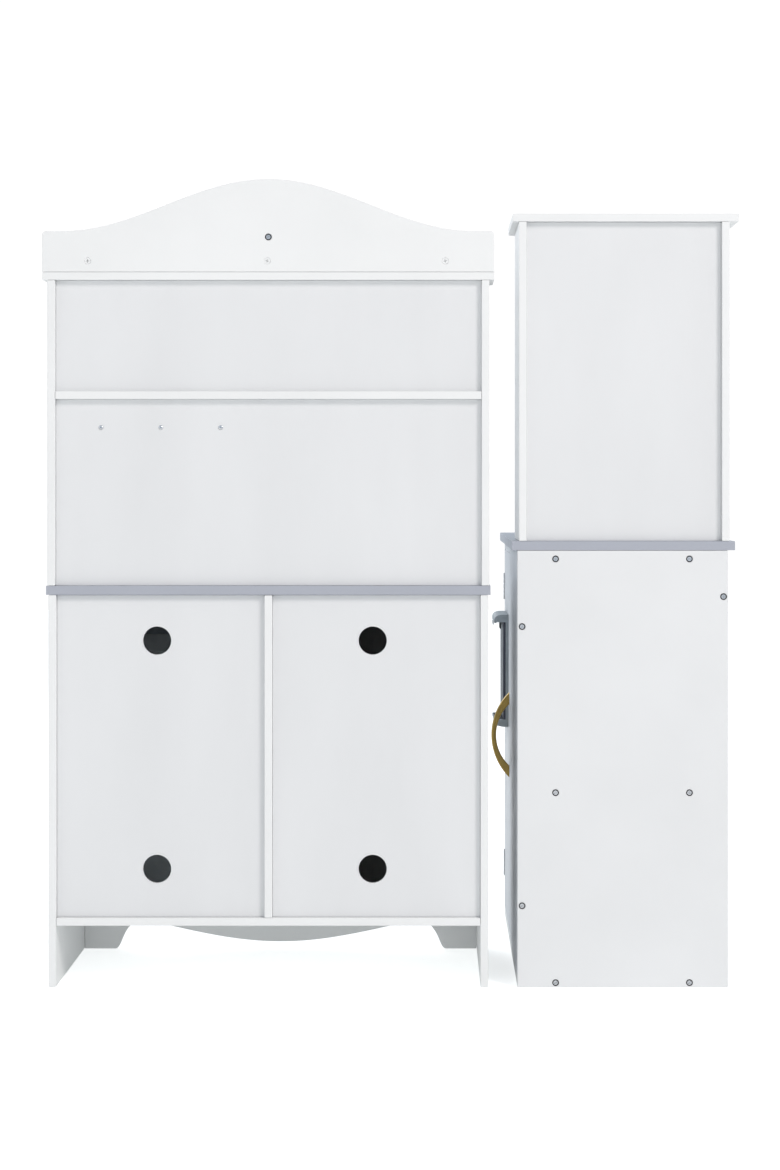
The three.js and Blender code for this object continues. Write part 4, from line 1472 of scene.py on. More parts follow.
@dataclass(frozen=True)
class Knob:
    """A knob on a spindle: a skirt with a groove, a raised grip and a pointer line."""

    radius: float = 18 * MM
    skirt: float = 5 * MM
    spindle: float = 4 * MM
    tail: float = 14 * MM
    grip: Triple = (8 * MM, 31 * MM, 13 * MM)

    def fit(self, unit: Assembly, node: str, place: Matrix) -> None:
        """Fits the knob.

        Args:
            unit: the sub-assembly that books it.
            node: the CAD node, which is also the name of its body.
            place: its middle on the panel's face, with local z outwards and local y up.
        """
        r, top, low = self.radius, self.skirt, 0.6 * MM
        profile = [(0, -self.tail), *near(self.spindle, -self.tail, (-0.5, 0), (0, 0.5)),
            (self.spindle, low), *near(r, low, (-0.7, 0), (0, 0.7)),
            *near(r, top, (0, -1.8), (-0.4, -0.8), (-1.3, -0.15), (-2.6, 0), (-2.9, -0.5), (-3.5, -0.5),
            (-3.8, 0)), (0, top)]
        width, length, height = self.grip
        foot = Ring((-width / 2, -length / 2), (width / 2, length / 2), top - 1 * MM, width / 2 - 0.1 * MM)
        rings = [foot, foot.moved(0, top + 0.4 * MM), *foot.steps(height, (0.5, -1.7), (0.8, -0.7),
            (1.4, -0.15), (2.1, 0))]
        body = merged(f"{node}_moulding", [turned("skirt", profile, place, 56),
            skin("grip", place, rings, steps=8)])
        unit.add(body, GOLD_PLASTIC, node, node)
        line = Ring((-0.55 * MM, 3.5 * MM), (0.55 * MM, length / 2 - 2.8 * MM), 0.0, 0.5 * MM)
        unit.add(skin(f"{node}_pointer", raised(place, height + 0.12 * MM),
            eased(line, 0.4 * MM, 0.06 * MM), steps=3), BLACK_PLASTIC, node)


@dataclass(frozen=True)
class ShakerFront:
    """A door's routed face: a flat border, a small moulding and a sunk field."""

    border: float = 24 * MM
    sink: float = 2.4 * MM

    def rings(self, outline: Ring) -> list[Ring]:
        """The rings of the routed face, from the border inwards."""
        border = outline.moved(self.border, 0, 2 * MM)
        return [border, *border.steps(0, (0.3, -0.5, 2), (1.1, -0.5, 1.5), (1.9, -0.8, 1.2)),
            border.moved(2.7 * MM, -0.6 * self.sink, 1 * MM), border.moved(3.2 * MM, -self.sink, 1 * MM)]


@dataclass(frozen=True)
class GlazedFront:
    """A door with a framed window: the board, a trim round the opening and a clear pane."""

    corner: float = 10 * MM
    trim: float = 6 * MM
    proud: float = 1.4 * MM

    def fit(self, unit: Assembly, door: str, pane: str, cutters: Sequence[Piece], body: str) -> None:
        """Makes the door, its trim and its pane.

        Args:
            unit: the sub-assembly that books it.
            door: the door's CAD node.
            pane: the pane's CAD node.
            cutters: shapes for hinges and spindles to cut out of the door.
            body: the door's body.
        """
        board = Face.of(door, Facing.FRONT, FRONT_CORNER)
        glass = Face.of(pane, Facing.FRONT, self.corner)
        opening = glass.ring.moved(-0.3 * MM, 0, self.corner)
        edge, back = 0.8 * MM, -board.depth
        rings = [*eased(board.ring, board.depth, 1.0 * MM), opening.moved(-edge, 0),
            opening.moved(0, -edge), opening.moved(0, back + edge), opening.moved(-edge, back)]
        leaf = bored(skin(f"{door}_board", board.place, rings, True), cutters)
        unit.add(leaf, WHITE, body, door)
        seat = board.place.inverted() @ glass.place @ Vector((0, 0, 0))
        outer, inner = opening.moved(-self.trim, 0), opening.moved(2 * MM, 0)
        sight = seat.z + 0.1 * MM
        frame_rings = [outer.moved(0, 0), outer.moved(0, 0.6 * self.proud),
            outer.moved(0.6 * MM, self.proud), inner.moved(-1.2 * MM, self.proud),
            inner.moved(-0.3 * MM, 0.7 * self.proud), inner.moved(0, 0), inner.moved(0, sight),
            opening.moved(0.1 * MM, sight), opening.moved(0.1 * MM, 0)]
        unit.add(skin(f"{door}_window_trim", board.place, frame_rings, True, 8), SLATE, body)
        unit.add(skin(f"{pane}_sheet", glass.place, eased(glass.ring, glass.depth, 0.4 * MM), steps=8),
            PANE, body, pane)


def handle_on(unit: Assembly, node: str, run: Vector, out: Vector, body: str, finish: Finish,
        back: Face) -> None:
    """Fits a bow handle, and its two screws on the other side of the door.

    Args:
        unit: the sub-assembly that books it.
        node: the handle's CAD node.
        run: the way that its chord runs.
        out: away from the door.
        body: the door's body.
        finish: the handle's finish.
        back: the door's inner side.
    """
    low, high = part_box(node)
    middle = (low + high) / 2
    seat = min(low.dot(out), high.dot(out)) - 0.3 * MM
    middle += out * (seat - middle.dot(out))
    bow = Bow()
    unit.add(bow.build(f"{node}_bow", middle, run, out), finish, body, node)
    spots = []
    for side in (-1, 1):
        local = back.place.inverted() @ (middle + run * side * (bow.span - bow.foot) / 2)
        spots.append(Spot.on(back, local.x, local.y))
    unit.screws(f"{node}_screws", Head.STRAP, spots, CHROME, body)


# ---- clock and hooks


@dataclass
class Clock(Assembly):
    """A play clock on the crest: a stepped dial with a rim, hour marks, minute dots and two hands."""

    radius: float = 38 * MM
    hub: float = 13 * MM
    hub_depth: float = 10.6 * MM
    face: float = 15.3 * MM
    pin: float = 2.6 * MM
    rim: float = 3.4 * MM

    def build(self) -> None:
        """Makes the clock."""
        low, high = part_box("clock_dial")
        x, _, z = middle_of("clock_dial")
        centre = Vector((x, high.y, z))
        place = Facing.FRONT.matrix(centre)
        r, f = self.radius, self.face
        body = [(0, 0), (self.hub, 0), (self.hub, self.hub_depth),
            *near(r, self.hub_depth, (-0.8, 0), (0, 0.8)), (r, f - 1 * MM),
            *near(r - self.rim, f, (0, -1), (0, -0.3)), (0, f - 0.3 * MM)]
        self.add(turned("clock_face", body, place, 96), WHITE, ROOT, "clock_dial")
        section = [(r - self.rim, f - 1.4 * MM), *near(r, f, (-0.1, -1.4), (0, 0.2), (-0.7, 1.2),
            (-1.7, 1.5), (-2.7, 1.0)), (r - self.rim, f)]
        self.add(ring_of(section, "clock_rim", place, 96), GOLD_PLASTIC)
        top = high.y - low.y
        cap = [(0, f - 0.5 * MM), (self.pin, f - 0.5 * MM), *near(self.pin, top, (0, -0.9), (-0.5, -0.2)),
            (0, top)]
        self.add(turned("clock_pin", cap, place, 28), GOLD_PLASTIC)
        self.marks(centre)
        for node, length in (("hour_hand", 20 * MM), ("minute_hand", 29 * MM)):
            self.hand(node, length, centre)

    def marks(self, centre: Vector) -> None:
        """Twelve hour marks and sixty minute dots, printed proud of the face."""
        at = Vector((centre.x, centre.y - self.face + 0.3 * MM, centre.z))
        dial = self.hardware.dial
        for name, count, reach, size_mm in (("hour", 12, 29.0 * MM, (1.1, 0.12, 2.6)),
                ("minute", 60, 32.7 * MM, (0.35, 0.12, 0.55))):
            shape = self.hardware.mark(f"{name}_mark", size_mm)
            marks = dial.make(f"clock_{name}_marks", shape, SLATE, Count=count, Radius=reach,
                Angle_Step=math.tau / count, Middle=at)
            self.add(marks, SLATE)

    def hand(self, node: str, length: float, centre: Vector) -> None:
        """One hand: a ring on the pin and a blade with a point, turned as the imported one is."""
        low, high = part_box(node)
        middle = (low + high) / 2
        lean = math.atan2(middle.x - centre.x, middle.z - centre.z)
        ring, waist = self.pin + 2.4 * MM, 2.3 * MM
        start = math.asin(waist / ring)
        angles = [start + (math.tau - 2 * start) * step / 26 for step in range(27)]
        outline = [(-ring * math.sin(a), ring * math.cos(a)) for a in angles]
        outline += [(1.5 * MM, 0.55 * length), (0.75 * MM, 0.9 * length), (0, length),
            (-0.75 * MM, 0.9 * length), (-1.5 * MM, 0.55 * length)]
        turn = Facing.FRONT.matrix((centre.x, high.y, centre.z)) @ Matrix.Rotation(-lean, 4, "Z")
        thick = high.y - low.y
        blade = prism(f"{node}_blade", turn, outline, thick, 0.25 * MM)
        bore = drill(self.pin + 0.3 * MM, -1 * MM, thick + 1 * MM, turn)
        self.add(bored(blade, [bore]), BLACKENED_AND_SHADE, node, node)


@dataclass
class HookRail(Assembly):
    """A strap with three hooks under the hutch shelf, held by three screws from behind."""

    pitch: float = 78 * MM
    bend: float = 9 * MM
    width: float = 8 * MM
    thick: float = 3.8 * MM
    stem: float = 16 * MM

    def build(self) -> None:
        """Makes the rail."""
        low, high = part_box("hook_rail")
        middle, level, back = (low.x + high.x) / 2, high.z - 10 * MM, high.y
        front = back - 5.7 * MM
        strap = Ring((low.x, level - 10 * MM), (high.x, high.z), 0.0, 4 * MM)
        shapes = [skin("strap", Facing.FRONT.matrix((0, front, 0)), eased(strap, back - front, 1.4 * MM))]
        xs = [middle + n * self.pitch for n in (-1, 0, 1)]
        shapes += [shape for x in xs for shape in self.hook(x, front, level)]
        self.add(merged("hook_rail_hooks", shapes), GOLD_HOOK, ROOT, "hook_rail")
        sheet = Face.of("hutch_back_lower", Facing.BACK)
        self.screws("hook_rail_screws", Head.STRAP, [Spot.on(sheet, -x, level) for x in xs], CHROME)

    def hook(self, x: float, front: float, level: float) -> list[Piece]:
        """One J-shaped hook with a ball on its end."""
        root = Vector((x, front - self.thick / 2 + 1 * MM, level))
        bend = root + Vector((0, -self.bend, -self.stem))
        path = [root + Vector((0, 0, 4 * MM)), root, root - Vector((0, 0, self.stem / 2))]
        path += [bend + self.bend * Vector((0, math.cos(a), -math.sin(a)))
            for a in (math.pi * step / 20 for step in range(21))]
        path.append(bend + Vector((0, -self.bend, 8 * MM)))
        across = X_WAY
        sections = []
        for i in range(len(path)):
            run = (path[min(i + 1, len(path) - 1)] - path[max(i - 1, 0)]).normalized()
            out = run.cross(across)
            taper = self.width / 2 * (1 - 0.35 * i / (len(path) - 1))
            sections.append([p.x * across + p.y * out for p in rounded_loop(taper, self.thick / 2, 1.5 * MM,
                3)])
        ball = [(3.4 * MM * math.sin(a), -3.4 * MM * math.cos(a))
            for a in (math.pi * s / 12 for s in range(13))]
        tip = Matrix.Translation(path[-1] + Vector((0, 0, 1.5 * MM)))
        return [swept("hook", path, sections), turned("ball", ball, tip, 28)]


# ---- stove and oven


@dataclass
class Stove(Assembly):
    """The control panel with three knobs, and the printed hob on the worktop."""

    pitch: float = 78 * MM
    burners: tuple[tuple[float, float], ...] = ((-58 * MM, 46 * MM), (58 * MM, 38 * MM))

    def build(self) -> None:
        """Makes the stove."""
        self.panel()
        self.hob()

    def panel(self) -> None:
        """The panel, its spindle holes, the scale round each knob and the knobs."""
        face = Face.of("control_panel", Facing.FRONT)
        centre = ((face.ring.low[0] + face.ring.high[0]) / 2, (face.ring.low[1] + face.ring.high[1]) / 2)
        places = [face.place @ Matrix.Translation((centre[0] + n * self.pitch, centre[1], 0))
            for n in (-1, 0, 1)]
        holes = [drill(SPINDLE_HOLE, -face.depth - 1 * MM, 1 * MM, place) for place in places]
        self.add(bored(face.plate("control_panel_board"), holes), PALE_GREY, ROOT, "control_panel")
        tick = self.hardware.mark("tick", (0.5, 0.12, 1.7))
        for side, place in zip(("left", "middle", "right"), places):
            node = f"stove_knob_{side}"
            Knob().fit(self, node, place)
            scale = self.hardware.dial.make(f"{node}_scale", tick, SLATE, Count=11, Radius=22.6 * MM,
                First_Angle=math.radians(-135), Angle_Step=math.radians(27), Middle=place.translation)
            self.add(scale, SLATE)

    def hob(self) -> None:
        """The glossy plate with two printed burners, each with rings and a crown of dashes."""
        face = Face.of("hob_plate", Facing.UP, 8 * MM)
        self.add(skin("hob_glass", face.place, eased(face.ring, face.depth, 1.2 * MM), steps=8), HOB_BLACK,
            ROOT, "hob_plate")
        middle = [(a + b) / 2 for a, b in zip(face.ring.low, face.ring.high)]
        dash = self.hardware.mark("dash", (0.45, 0.1, 2.2), 0.05 * MM)
        for side, (offset, radius) in zip(("left", "right"), self.burners):
            place = face.place @ Matrix.Translation((middle[0] + offset, middle[1], 0))
            rings = []
            for share, half in ((1.0, 0.9 * MM), (0.66, 0.45 * MM), (0.3, 0.45 * MM)):
                r, top = share * radius, 0.14 * MM
                rings.append(ring_of([(r - half, -top), (r + half, -top), (r + half, top), (r - half, top)],
                    "ring", place, 96))
            self.add(merged(f"hob_burner_{side}_rings", rings), HOB_PRINT)
            crown = self.hardware.dial.make(f"hob_burner_{side}_dashes", dash, HOB_PRINT, Count=36,
                Radius=0.84 * radius, Angle_Step=math.radians(10))
            crown.data.transform(place @ LIE_DOWN)
            self.add(crown, HOB_PRINT)


@dataclass
class Oven(Assembly):
    """The oven: a fold-down door with a window, hinges, a catch and a wire shelf."""

    wire: float = 1.5 * MM
    bars: int = 9

    def build(self) -> None:
        """Makes the oven."""
        low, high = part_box("oven_door")
        hinge, ends = Hinge(), ((low.x, low.y, low.z), (high.x, low.y, low.z))
        places = hinge.places(*ends, (0.18, 0.82), (Z_WAY, X_WAY, Y_WAY))
        GlazedFront().fit(self, "oven_door", "oven_window", [*map(hinge.notch, places)], "oven_door")
        for side, place in zip(("left", "right"), places):
            hinge.fit(self, f"oven_hinge_{side}", place, "oven_door")
        handle_on(self, "oven_handle", X_WAY, -Y_WAY, "oven_door", GOLD_ACROSS,
            Face.of("oven_door", Facing.BACK))
        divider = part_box("main_divider")[1].x
        spot = Facing.FRONT.matrix((divider + 4.6 * MM, high.y, high.z - 24 * MM))
        Catch().fit(self, "oven_catch", spot @ UPRIGHT, "oven_door")
        stop_low = (low.x - 0.8 * MM, high.y + 0.4 * MM, high.z - 5.5 * MM)
        stop_high = (high.x + 0.8 * MM, high.y + 8 * MM, high.z + 18 * MM)
        self.add(box_piece("oven_door_stop", stop_low, stop_high, 0.8 * MM), WHITE)
        self.rack()

    def rack(self) -> None:
        """Two cross rods and nine bars of wire, on four nylon pegs."""
        low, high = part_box("oven_rack")
        r, level = self.wire, low.z + self.wire
        ends = (low.y + r, high.y - r)
        rods = [tube("rod", [Vector((low.x, y, level)), Vector((high.x, y, level))], r) for y in ends]
        self.add(merged("oven_rack_rods", rods), WIRE, ROOT, "oven_rack")
        bar = tube("bar", [Vector((0, ends[0] + 0.4 * MM, 0)), Vector((0, ends[1] - 0.4 * MM, 0))], r, 16)
        self.hardware.keep(bar)
        pitch = (high.x - low.x) / (self.bars + 1)
        bars = self.hardware.row.make("oven_rack_bars", bar, WIRE, Count=self.bars,
            First_Place=(low.x + pitch, 0, level + 0.5 * MM), Step=(pitch, 0, 0))
        self.add(bars, WIRE)
        pegs = []
        for facing, x in ((Facing.RIGHT, low.x - 0.3 * MM), (Facing.LEFT, high.x + 0.3 * MM)):
            for y in ends:
                place = facing.matrix((x, y, low.z - 2.6 * MM))
                pegs.append(turned("peg", arc_profile(2.5 * MM, 7 * MM, 0.8 * MM), place, 24))
        self.add(merged("oven_rack_pegs", pegs), NYLON)


# ---- sink


@dataclass
class Sink(Assembly):
    """The sink: a basin with a drain, a tap with two levers, and a pair of doors below."""

    wall: float = 2.5 * MM
    bowl_corner: float = 18 * MM
    flange: float = 12 * MM
    drain: float = 15 * MM
    spout: float = 6 * MM
    spout_rise: float = 46 * MM
    spout_reach: float = 66 * MM
    spout_drop: float = 14 * MM
    pillar_pitch: float = 34 * MM

    def build(self) -> None:
        """Makes the sink."""
        self.basin()
        self.tap_body()
        self.tap_spout()
        for side, name in ((-1, "left"), (1, "right")):
            self.tap_lever(name, side)
            self.door(name, side)
        self.stop()

    def basin(self) -> None:
        """The bowl with its flange and rounded floor, and the drain with its strainer."""
        low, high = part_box("sink_basin")
        rim = Ring((low.x, low.y), (high.x, high.y), high.z, 22 * MM)
        bowl = rim.moved(self.flange, low.z, self.bowl_corner)
        inner = rim.moved(self.flange + self.wall, high.z, self.bowl_corner - self.wall)
        floor = low.z + self.wall
        shell = [*bowl.steps(low.z, (9, 0, 14), (4, 1.2, 16), (1.2, 4.5, 17), (0, 12)),
            *bowl.steps(high.z, (0, -2.6)), *rim.steps(high.z, (0.6, -2.5), (0, -1.8), (0.3, -0.7),
            (1.4, 0)), *inner.steps(high.z, (-3.2, 0), (-1.4, -0.4), (-0.4, -1.5), (0, -3.2)),
            *inner.steps(floor, (0.6, 12), (1.8, 5, 15.5), (4.4, 1.6, 15.5), (9, 0.3, 14), (16, 0, 12))]
        self.add(skin("sink_bowl", Facing.UP.matrix((0, 0, 0)), shell, steps=8), SINK_GREY, ROOT,
            "sink_basin")
        r = self.drain
        place = Facing.UP.matrix((*middle_of("sink_basin")[:2], floor))
        collar = near(r, 0, (-3.4, 0.1), (0, 0.1), (0, 0.6), (-0.9, 1.2), (-2.4, 1.2), (-3.4, 0.7))
        self.add(ring_of(collar, "sink_drain_collar", place, 64), CHROME)
        strainer = turned("sink_drain_strainer", arc_profile(r - 3.3 * MM, 1.0 * MM, 0.4 * MM, 0.05 * MM),
            place, 56)
        holes = []
        for count, reach in ((1, 0.0), (6, 4.4 * MM), (12, 8.6 * MM)):
            for i in range(count):
                at = Matrix.Rotation(math.tau * i / count, 4, "Z") @ Matrix.Translation((reach, 0, 0))
                holes.append(drill(1.15 * MM, 0.3 * MM, 2 * MM, place @ at, 16))
        self.add(bored(strainer, holes), CHROME)

    def tap_body(self) -> None:
        """The base plate, the middle column and the two pillars."""
        low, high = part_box("tap_body")
        middle = Vector((*middle_of("tap_body")[:2], 0))
        plate = Ring((low.x, low.y), (high.x, high.y), 0.0, 12.9 * MM)
        shapes = [skin("plate", Facing.UP.matrix((0, 0, low.z + 5 * MM)), eased(plate, 5 * MM, 1.6 * MM),
            steps=8)]
        for offset, radius, height in ((0, 9 * MM, high.z - low.z), (-self.pillar_pitch, 7.5 * MM, 15 * MM),
                (self.pillar_pitch, 7.5 * MM, 15 * MM)):
            foot = radius + 2.2 * MM
            profile = [(0, 2 * MM), *near(foot, 0, (0, 2), (0, 5.6), (-0.5, 6.3)),
                *near(radius, 0, (0.4, 7.2), (-0.6, 8.6)),
                *near(radius, height, (-0.6, -2), (0, -1.2), (0, -0.3), (-0.4, 0)), (0, height)]
            shapes.append(turned("column", profile, Facing.UP.matrix(middle + Vector((offset, 0, low.z))),
                48))
        self.add(merged("tap_body_casting", shapes), GOLD_PLASTIC, ROOT, "tap_body")

    def tap_spout(self) -> None:
        """The collar and the gooseneck, with an aerator in its end."""
        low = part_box("tap_spout")[0]
        base = Vector((*middle_of("tap_body")[:2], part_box("tap_body")[1].z + 0.3 * MM))
        lean = 4 / 3 * self.spout_reach / 2
        knots = [Vector((0, -y, self.spout_rise + z)) for y,
            z in ((0, 0), (0, lean), (self.spout_reach, lean), (self.spout_reach, 0))]
        path = [base + Vector((0, 0, 2 * MM + step / 6 * (self.spout_rise - 2 * MM))) for step in range(6)]
        path += [base + point for point in bezier(knots, 36)]
        tip = base + Vector((0, -self.spout_reach, self.spout_rise - self.spout_drop))
        path += [tip + Vector((0, 0, 7 * MM)), tip]
        neck = tube("neck", path, lambda share: self.spout * (1.0 - 0.08 * share), 32)
        collar = near(0, 0, (0, 0), (9, 0), (9, 1), (8.4, 2), (8.4, 8), (9, 9), (9, 10.6), (8.2, 11.6),
            (6.2, 12), (0, 12))
        nut = near(0, 0, (0, 0), (4.4, 0), (4.6, 1), (5.9, 0.6), (6.6, 0), (6.9, 0.4), (6.9, 6), (6.3, 6.8),
            (0, 6.8))
        shapes = [neck, turned("collar", collar, Facing.UP.matrix(base), 48),
            turned("nut", nut, Facing.UP.matrix((tip.x, tip.y, max(tip.z - 0.2 * MM, low.z))), 40)]
        self.add(merged("tap_spout_neck", shapes), GOLD_PLASTIC, "tap_spout", "tap_spout")

    def tap_lever(self, name: str, side: int) -> None:
        """One lever: a domed cap and a flat bar with a round end."""
        node = f"tap_lever_{name}"
        x = middle_of("tap_body")[0] + side * self.pillar_pitch
        place = Facing.UP.matrix((x, middle_of(node)[1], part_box(node)[0].z))
        cap = near(0, 0, (0, 0), (7.1, 0), (7.5, 0.5), (7.5, 5.4), (7.0, 7.2), (5.6, 8.4), (3.4, 8.9),
            (0, 9))
        reach = 27 * MM
        span = (-3 * MM, reach) if side > 0 else (-reach, 3 * MM)
        bar = Ring((span[0], -3.5 * MM), (span[1], 3.5 * MM), 0.0, 3.4 * MM)
        lift = raised(place, 7.5 * MM)
        shapes = [turned("cap", cap, place, 40), skin("bar", lift, eased(bar, 4.5 * MM, 1.3 * MM), steps=8)]
        self.add(merged(f"{node}_handle", shapes), GOLD_PLASTIC, node, node)
        button = raised(place, 8.8 * MM)
        self.add(turned(f"{node}_button", arc_profile(2.9 * MM, 0.7 * MM, 0.4 * MM), button, 32), NYLON,
            node)

    def stop(self) -> None:
        """The upright strip that both doors close against, between their catches."""
        left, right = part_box("sink_door_left")[1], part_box("sink_door_right")[0]
        floor_top, panel_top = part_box("main_floor")[1].z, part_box("control_panel")[1].z
        middle, half, back = (left.x + right.x) / 2, 6.6 * MM, left.y
        self.add(box_piece("sink_door_stop", (middle - half, back + 0.4 * MM, floor_top),
            (middle + half, back + 8 * MM, panel_top), 0.8 * MM), WHITE)

    def door(self, name: str, side: int) -> None:
        """One door with its routed face, hinges, handle and catch."""
        node = f"sink_door_{name}"
        low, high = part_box(node)
        edge = low.x if side < 0 else high.x
        hinge = Hinge()
        axes = (-side * X_WAY, -side * Z_WAY, Y_WAY)
        places = hinge.places((edge, low.y, low.z), (edge, low.y, high.z), (0.14, 0.86), axes)
        face = Face.of(node, Facing.FRONT, FRONT_CORNER)
        front = ShakerFront().rings(face.ring)
        leaf = bored(face.plate(f"{node}_board", FRONT_CORNER, front), [*map(hinge.notch, places)])
        self.add(leaf, WHITE, node, node)
        for level, place in zip(("low", "high"), places):
            hinge.fit(self, f"{node}_hinge_{level}", place, node)
        handle_on(self, f"sink_handle_{name}", Z_WAY, -Y_WAY, node, GOLD, Face.of(node, Facing.BACK))
        inner = high.x if side < 0 else low.x
        spot = Facing.FRONT.matrix((inner + side * 20 * MM, high.y, high.z - 3.5 * MM))
        Catch(length=28 * MM).fit(self, f"{node}_catch", spot, node)


# ---- fridge


@dataclass
class Fridge(Assembly):
    """The fridge door of the corner unit, with its ice and water dispenser."""

    plate: float = 7.5 * MM
    liner: float = 3.5 * MM
    ledge: float = 11 * MM
    lip: tuple[float, float] = (4 * MM, 1 * MM)
    groove: float = 9 * MM

    def build(self) -> None:
        """Makes the fridge."""
        self.door()
        self.housing()
        self.lever()

    def door(self) -> None:
        """The door with a routed line along its border, its hinges, handle and catch."""
        node = "fridge_door"
        low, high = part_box(node)
        hinge = Hinge()
        ends = ((high.x, low.y, low.z), (high.x, low.y, high.z))
        places = hinge.places(*ends, (0.12, 0.88), (Y_WAY, -Z_WAY, -X_WAY))
        face = Face.of(node, Facing.RIGHT, FRONT_CORNER)
        g, r = self.groove, 1.5 * MM
        front = [face.ring.moved(g, 0, r), face.ring.moved(g + 0.5 * MM, -0.9 * MM, r),
            face.ring.moved(g + 1.5 * MM, -0.9 * MM, r), face.ring.moved(g + 2.0 * MM, 0, r)]
        leaf = bored(face.plate(f"{node}_board", FRONT_CORNER, front), [*map(hinge.notch, places)])
        self.add(leaf, PALE_GREY, node, node)
        for level, place in zip(("low", "high"), places):
            hinge.fit(self, f"fridge_hinge_{level}", place, node)
        handle_on(self, "fridge_handle", Z_WAY, X_WAY, node, GOLD, Face.of(node, Facing.LEFT))
        spot = Facing.RIGHT.matrix((low.x, high.y - 6 * MM, 294 * MM)) @ UPRIGHT
        Catch().fit(self, "fridge_catch", spot, node)

    def housing(self) -> None:
        """The moulding: a ledge with a lip above, a plate, and a tray with a grille below."""
        low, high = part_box("dispenser_housing")
        reach, tray = high.x - low.x, low.z + self.ledge
        lip_z = high.z - self.ledge
        thick, drop = self.lip

        def curve(start: Point, knot: Point, end: Point) -> list[tuple[float, float]]:
            """Points on a curve that leaves start and reaches end along the knot."""
            weights = [((1 - t) ** 2, 2 * t * (1 - t), t * t) for t in (step / 10 for step in range(11))]
            return [tuple(a * p + b * k + c * q for p, k, q in zip(start, knot, end)) for a, b,
                c in weights]

        behind = self.plate - self.liner
        outline = [(0, low.z), *curve((0, low.z), (reach, low.z), (reach, low.z + 8 * MM))[1:],
            (reach, tray), (behind, tray), (behind, lip_z), (reach - thick, lip_z),
            (reach - thick + 1 * MM, lip_z - drop), (reach, lip_z - drop),
            *curve((reach, high.z - 9 * MM), (reach, high.z), (reach - 12 * MM, high.z)), (0, high.z)]
        side = Facing.FRONT.matrix((low.x - 0.3 * MM, high.y, 0))
        body = prism("dispenser_moulding", side, outline, high.y - low.y, 0.9 * MM)
        self.add(body, SLATE, "fridge_door", "dispenser_housing")
        front = low.x - 0.3 * MM + self.plate
        # The liner on the plate between tray and lip is near black: painted shade in the recess under the
        # ledge.
        liner = box_piece("dispenser_liner", (front - self.liner, low.y + 0.3 * MM, tray),
            (front, high.y - 0.3 * MM, lip_z), 0.7 * MM)
        self.add(liner, SHADED_SLATE, "fridge_door")
        self.trim(low, high, tray, lip_z)

    def trim(self, low: Vector, high: Vector, tray: float, lip_z: float) -> None:
        """The raised border on the plate, the tray's grille and three buttons on the ledge."""
        plate_x = low.x - 0.3 * MM + self.plate
        outer = Ring((low.y + 8 * MM, tray + 5 * MM), (high.y - 8 * MM, lip_z - 4 * MM), 0.0, 9 * MM)
        inner = outer.moved(3 * MM, 0)
        rings = [*outer.steps(0, (0, -0.3), (0, 0.6), (0.5, 1.0)),
            *inner.steps(0, (-0.5, 1.0), (0, 0.6), (0, -0.3))]
        self.add(skin("dispenser_border", Facing.RIGHT.matrix((plate_x, 0, 0)), rings, True, 8), SLATE,
            "fridge_door")
        length = high.x - 1.6 * MM - plate_x
        slat = box_piece("slat", (0, -1.1 * MM, -0.4 * MM), (length, 1.1 * MM, 0.7 * MM), 0.25 * MM)
        self.hardware.keep(slat)
        pitch = 5.6 * MM
        count = int((high.y - low.y - 12 * MM) / pitch)
        first = (low.y + high.y) / 2 - pitch * (count - 1) / 2
        grille = self.hardware.row.make("dispenser_grille", slat, BLACK_PLASTIC, Count=count,
            First_Place=(plate_x, first, tray), Step=(0, pitch, 0))
        self.add(grille, BLACK_PLASTIC, "fridge_door")
        button = self.hardware.keep(turned("button", arc_profile(2.6 * MM, 0.9 * MM, 0.4 * MM, -0.5 * MM),
            Matrix.Identity(4), 28))
        spots = [(Vector((high.x - 0.3 * MM, (low.y + high.y) / 2 + n * 17 * MM, high.z - 14 * MM)), X_WAY)
            for n in (-1, 0, 1)]
        buttons = self.hardware.spread.make("dispenser_buttons", button, PALE_GREY, Spread.points(spots))
        self.add(buttons, PALE_GREY, "fridge_door")

    def lever(self) -> None:
        """The sprung paddle: a ribbed plate on a pin."""
        node = "dispenser_lever"
        face = Face.of(node, Facing.RIGHT, 4 * MM)
        self.add(skin(f"{node}_paddle", face.place, eased(face.ring, face.depth, 0.5 * MM), steps=6),
            BLACK_PLASTIC, node, node)
        low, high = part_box(node)
        rib = box_piece("rib", (-0.3 * MM, -11 * MM, -0.7 * MM), (0.45 * MM, 11 * MM, 0.7 * MM), 0.2 * MM)
        self.hardware.keep(rib)
        ribs = self.hardware.row.make(f"{node}_ribs", rib, BLACK_PLASTIC, Count=3,
            First_Place=(high.x, (low.y + high.y) / 2, low.z + 3 * MM), Step=(0, 0, 3 * MM))
        self.add(ribs, BLACK_PLASTIC, node)


# ---- microwave


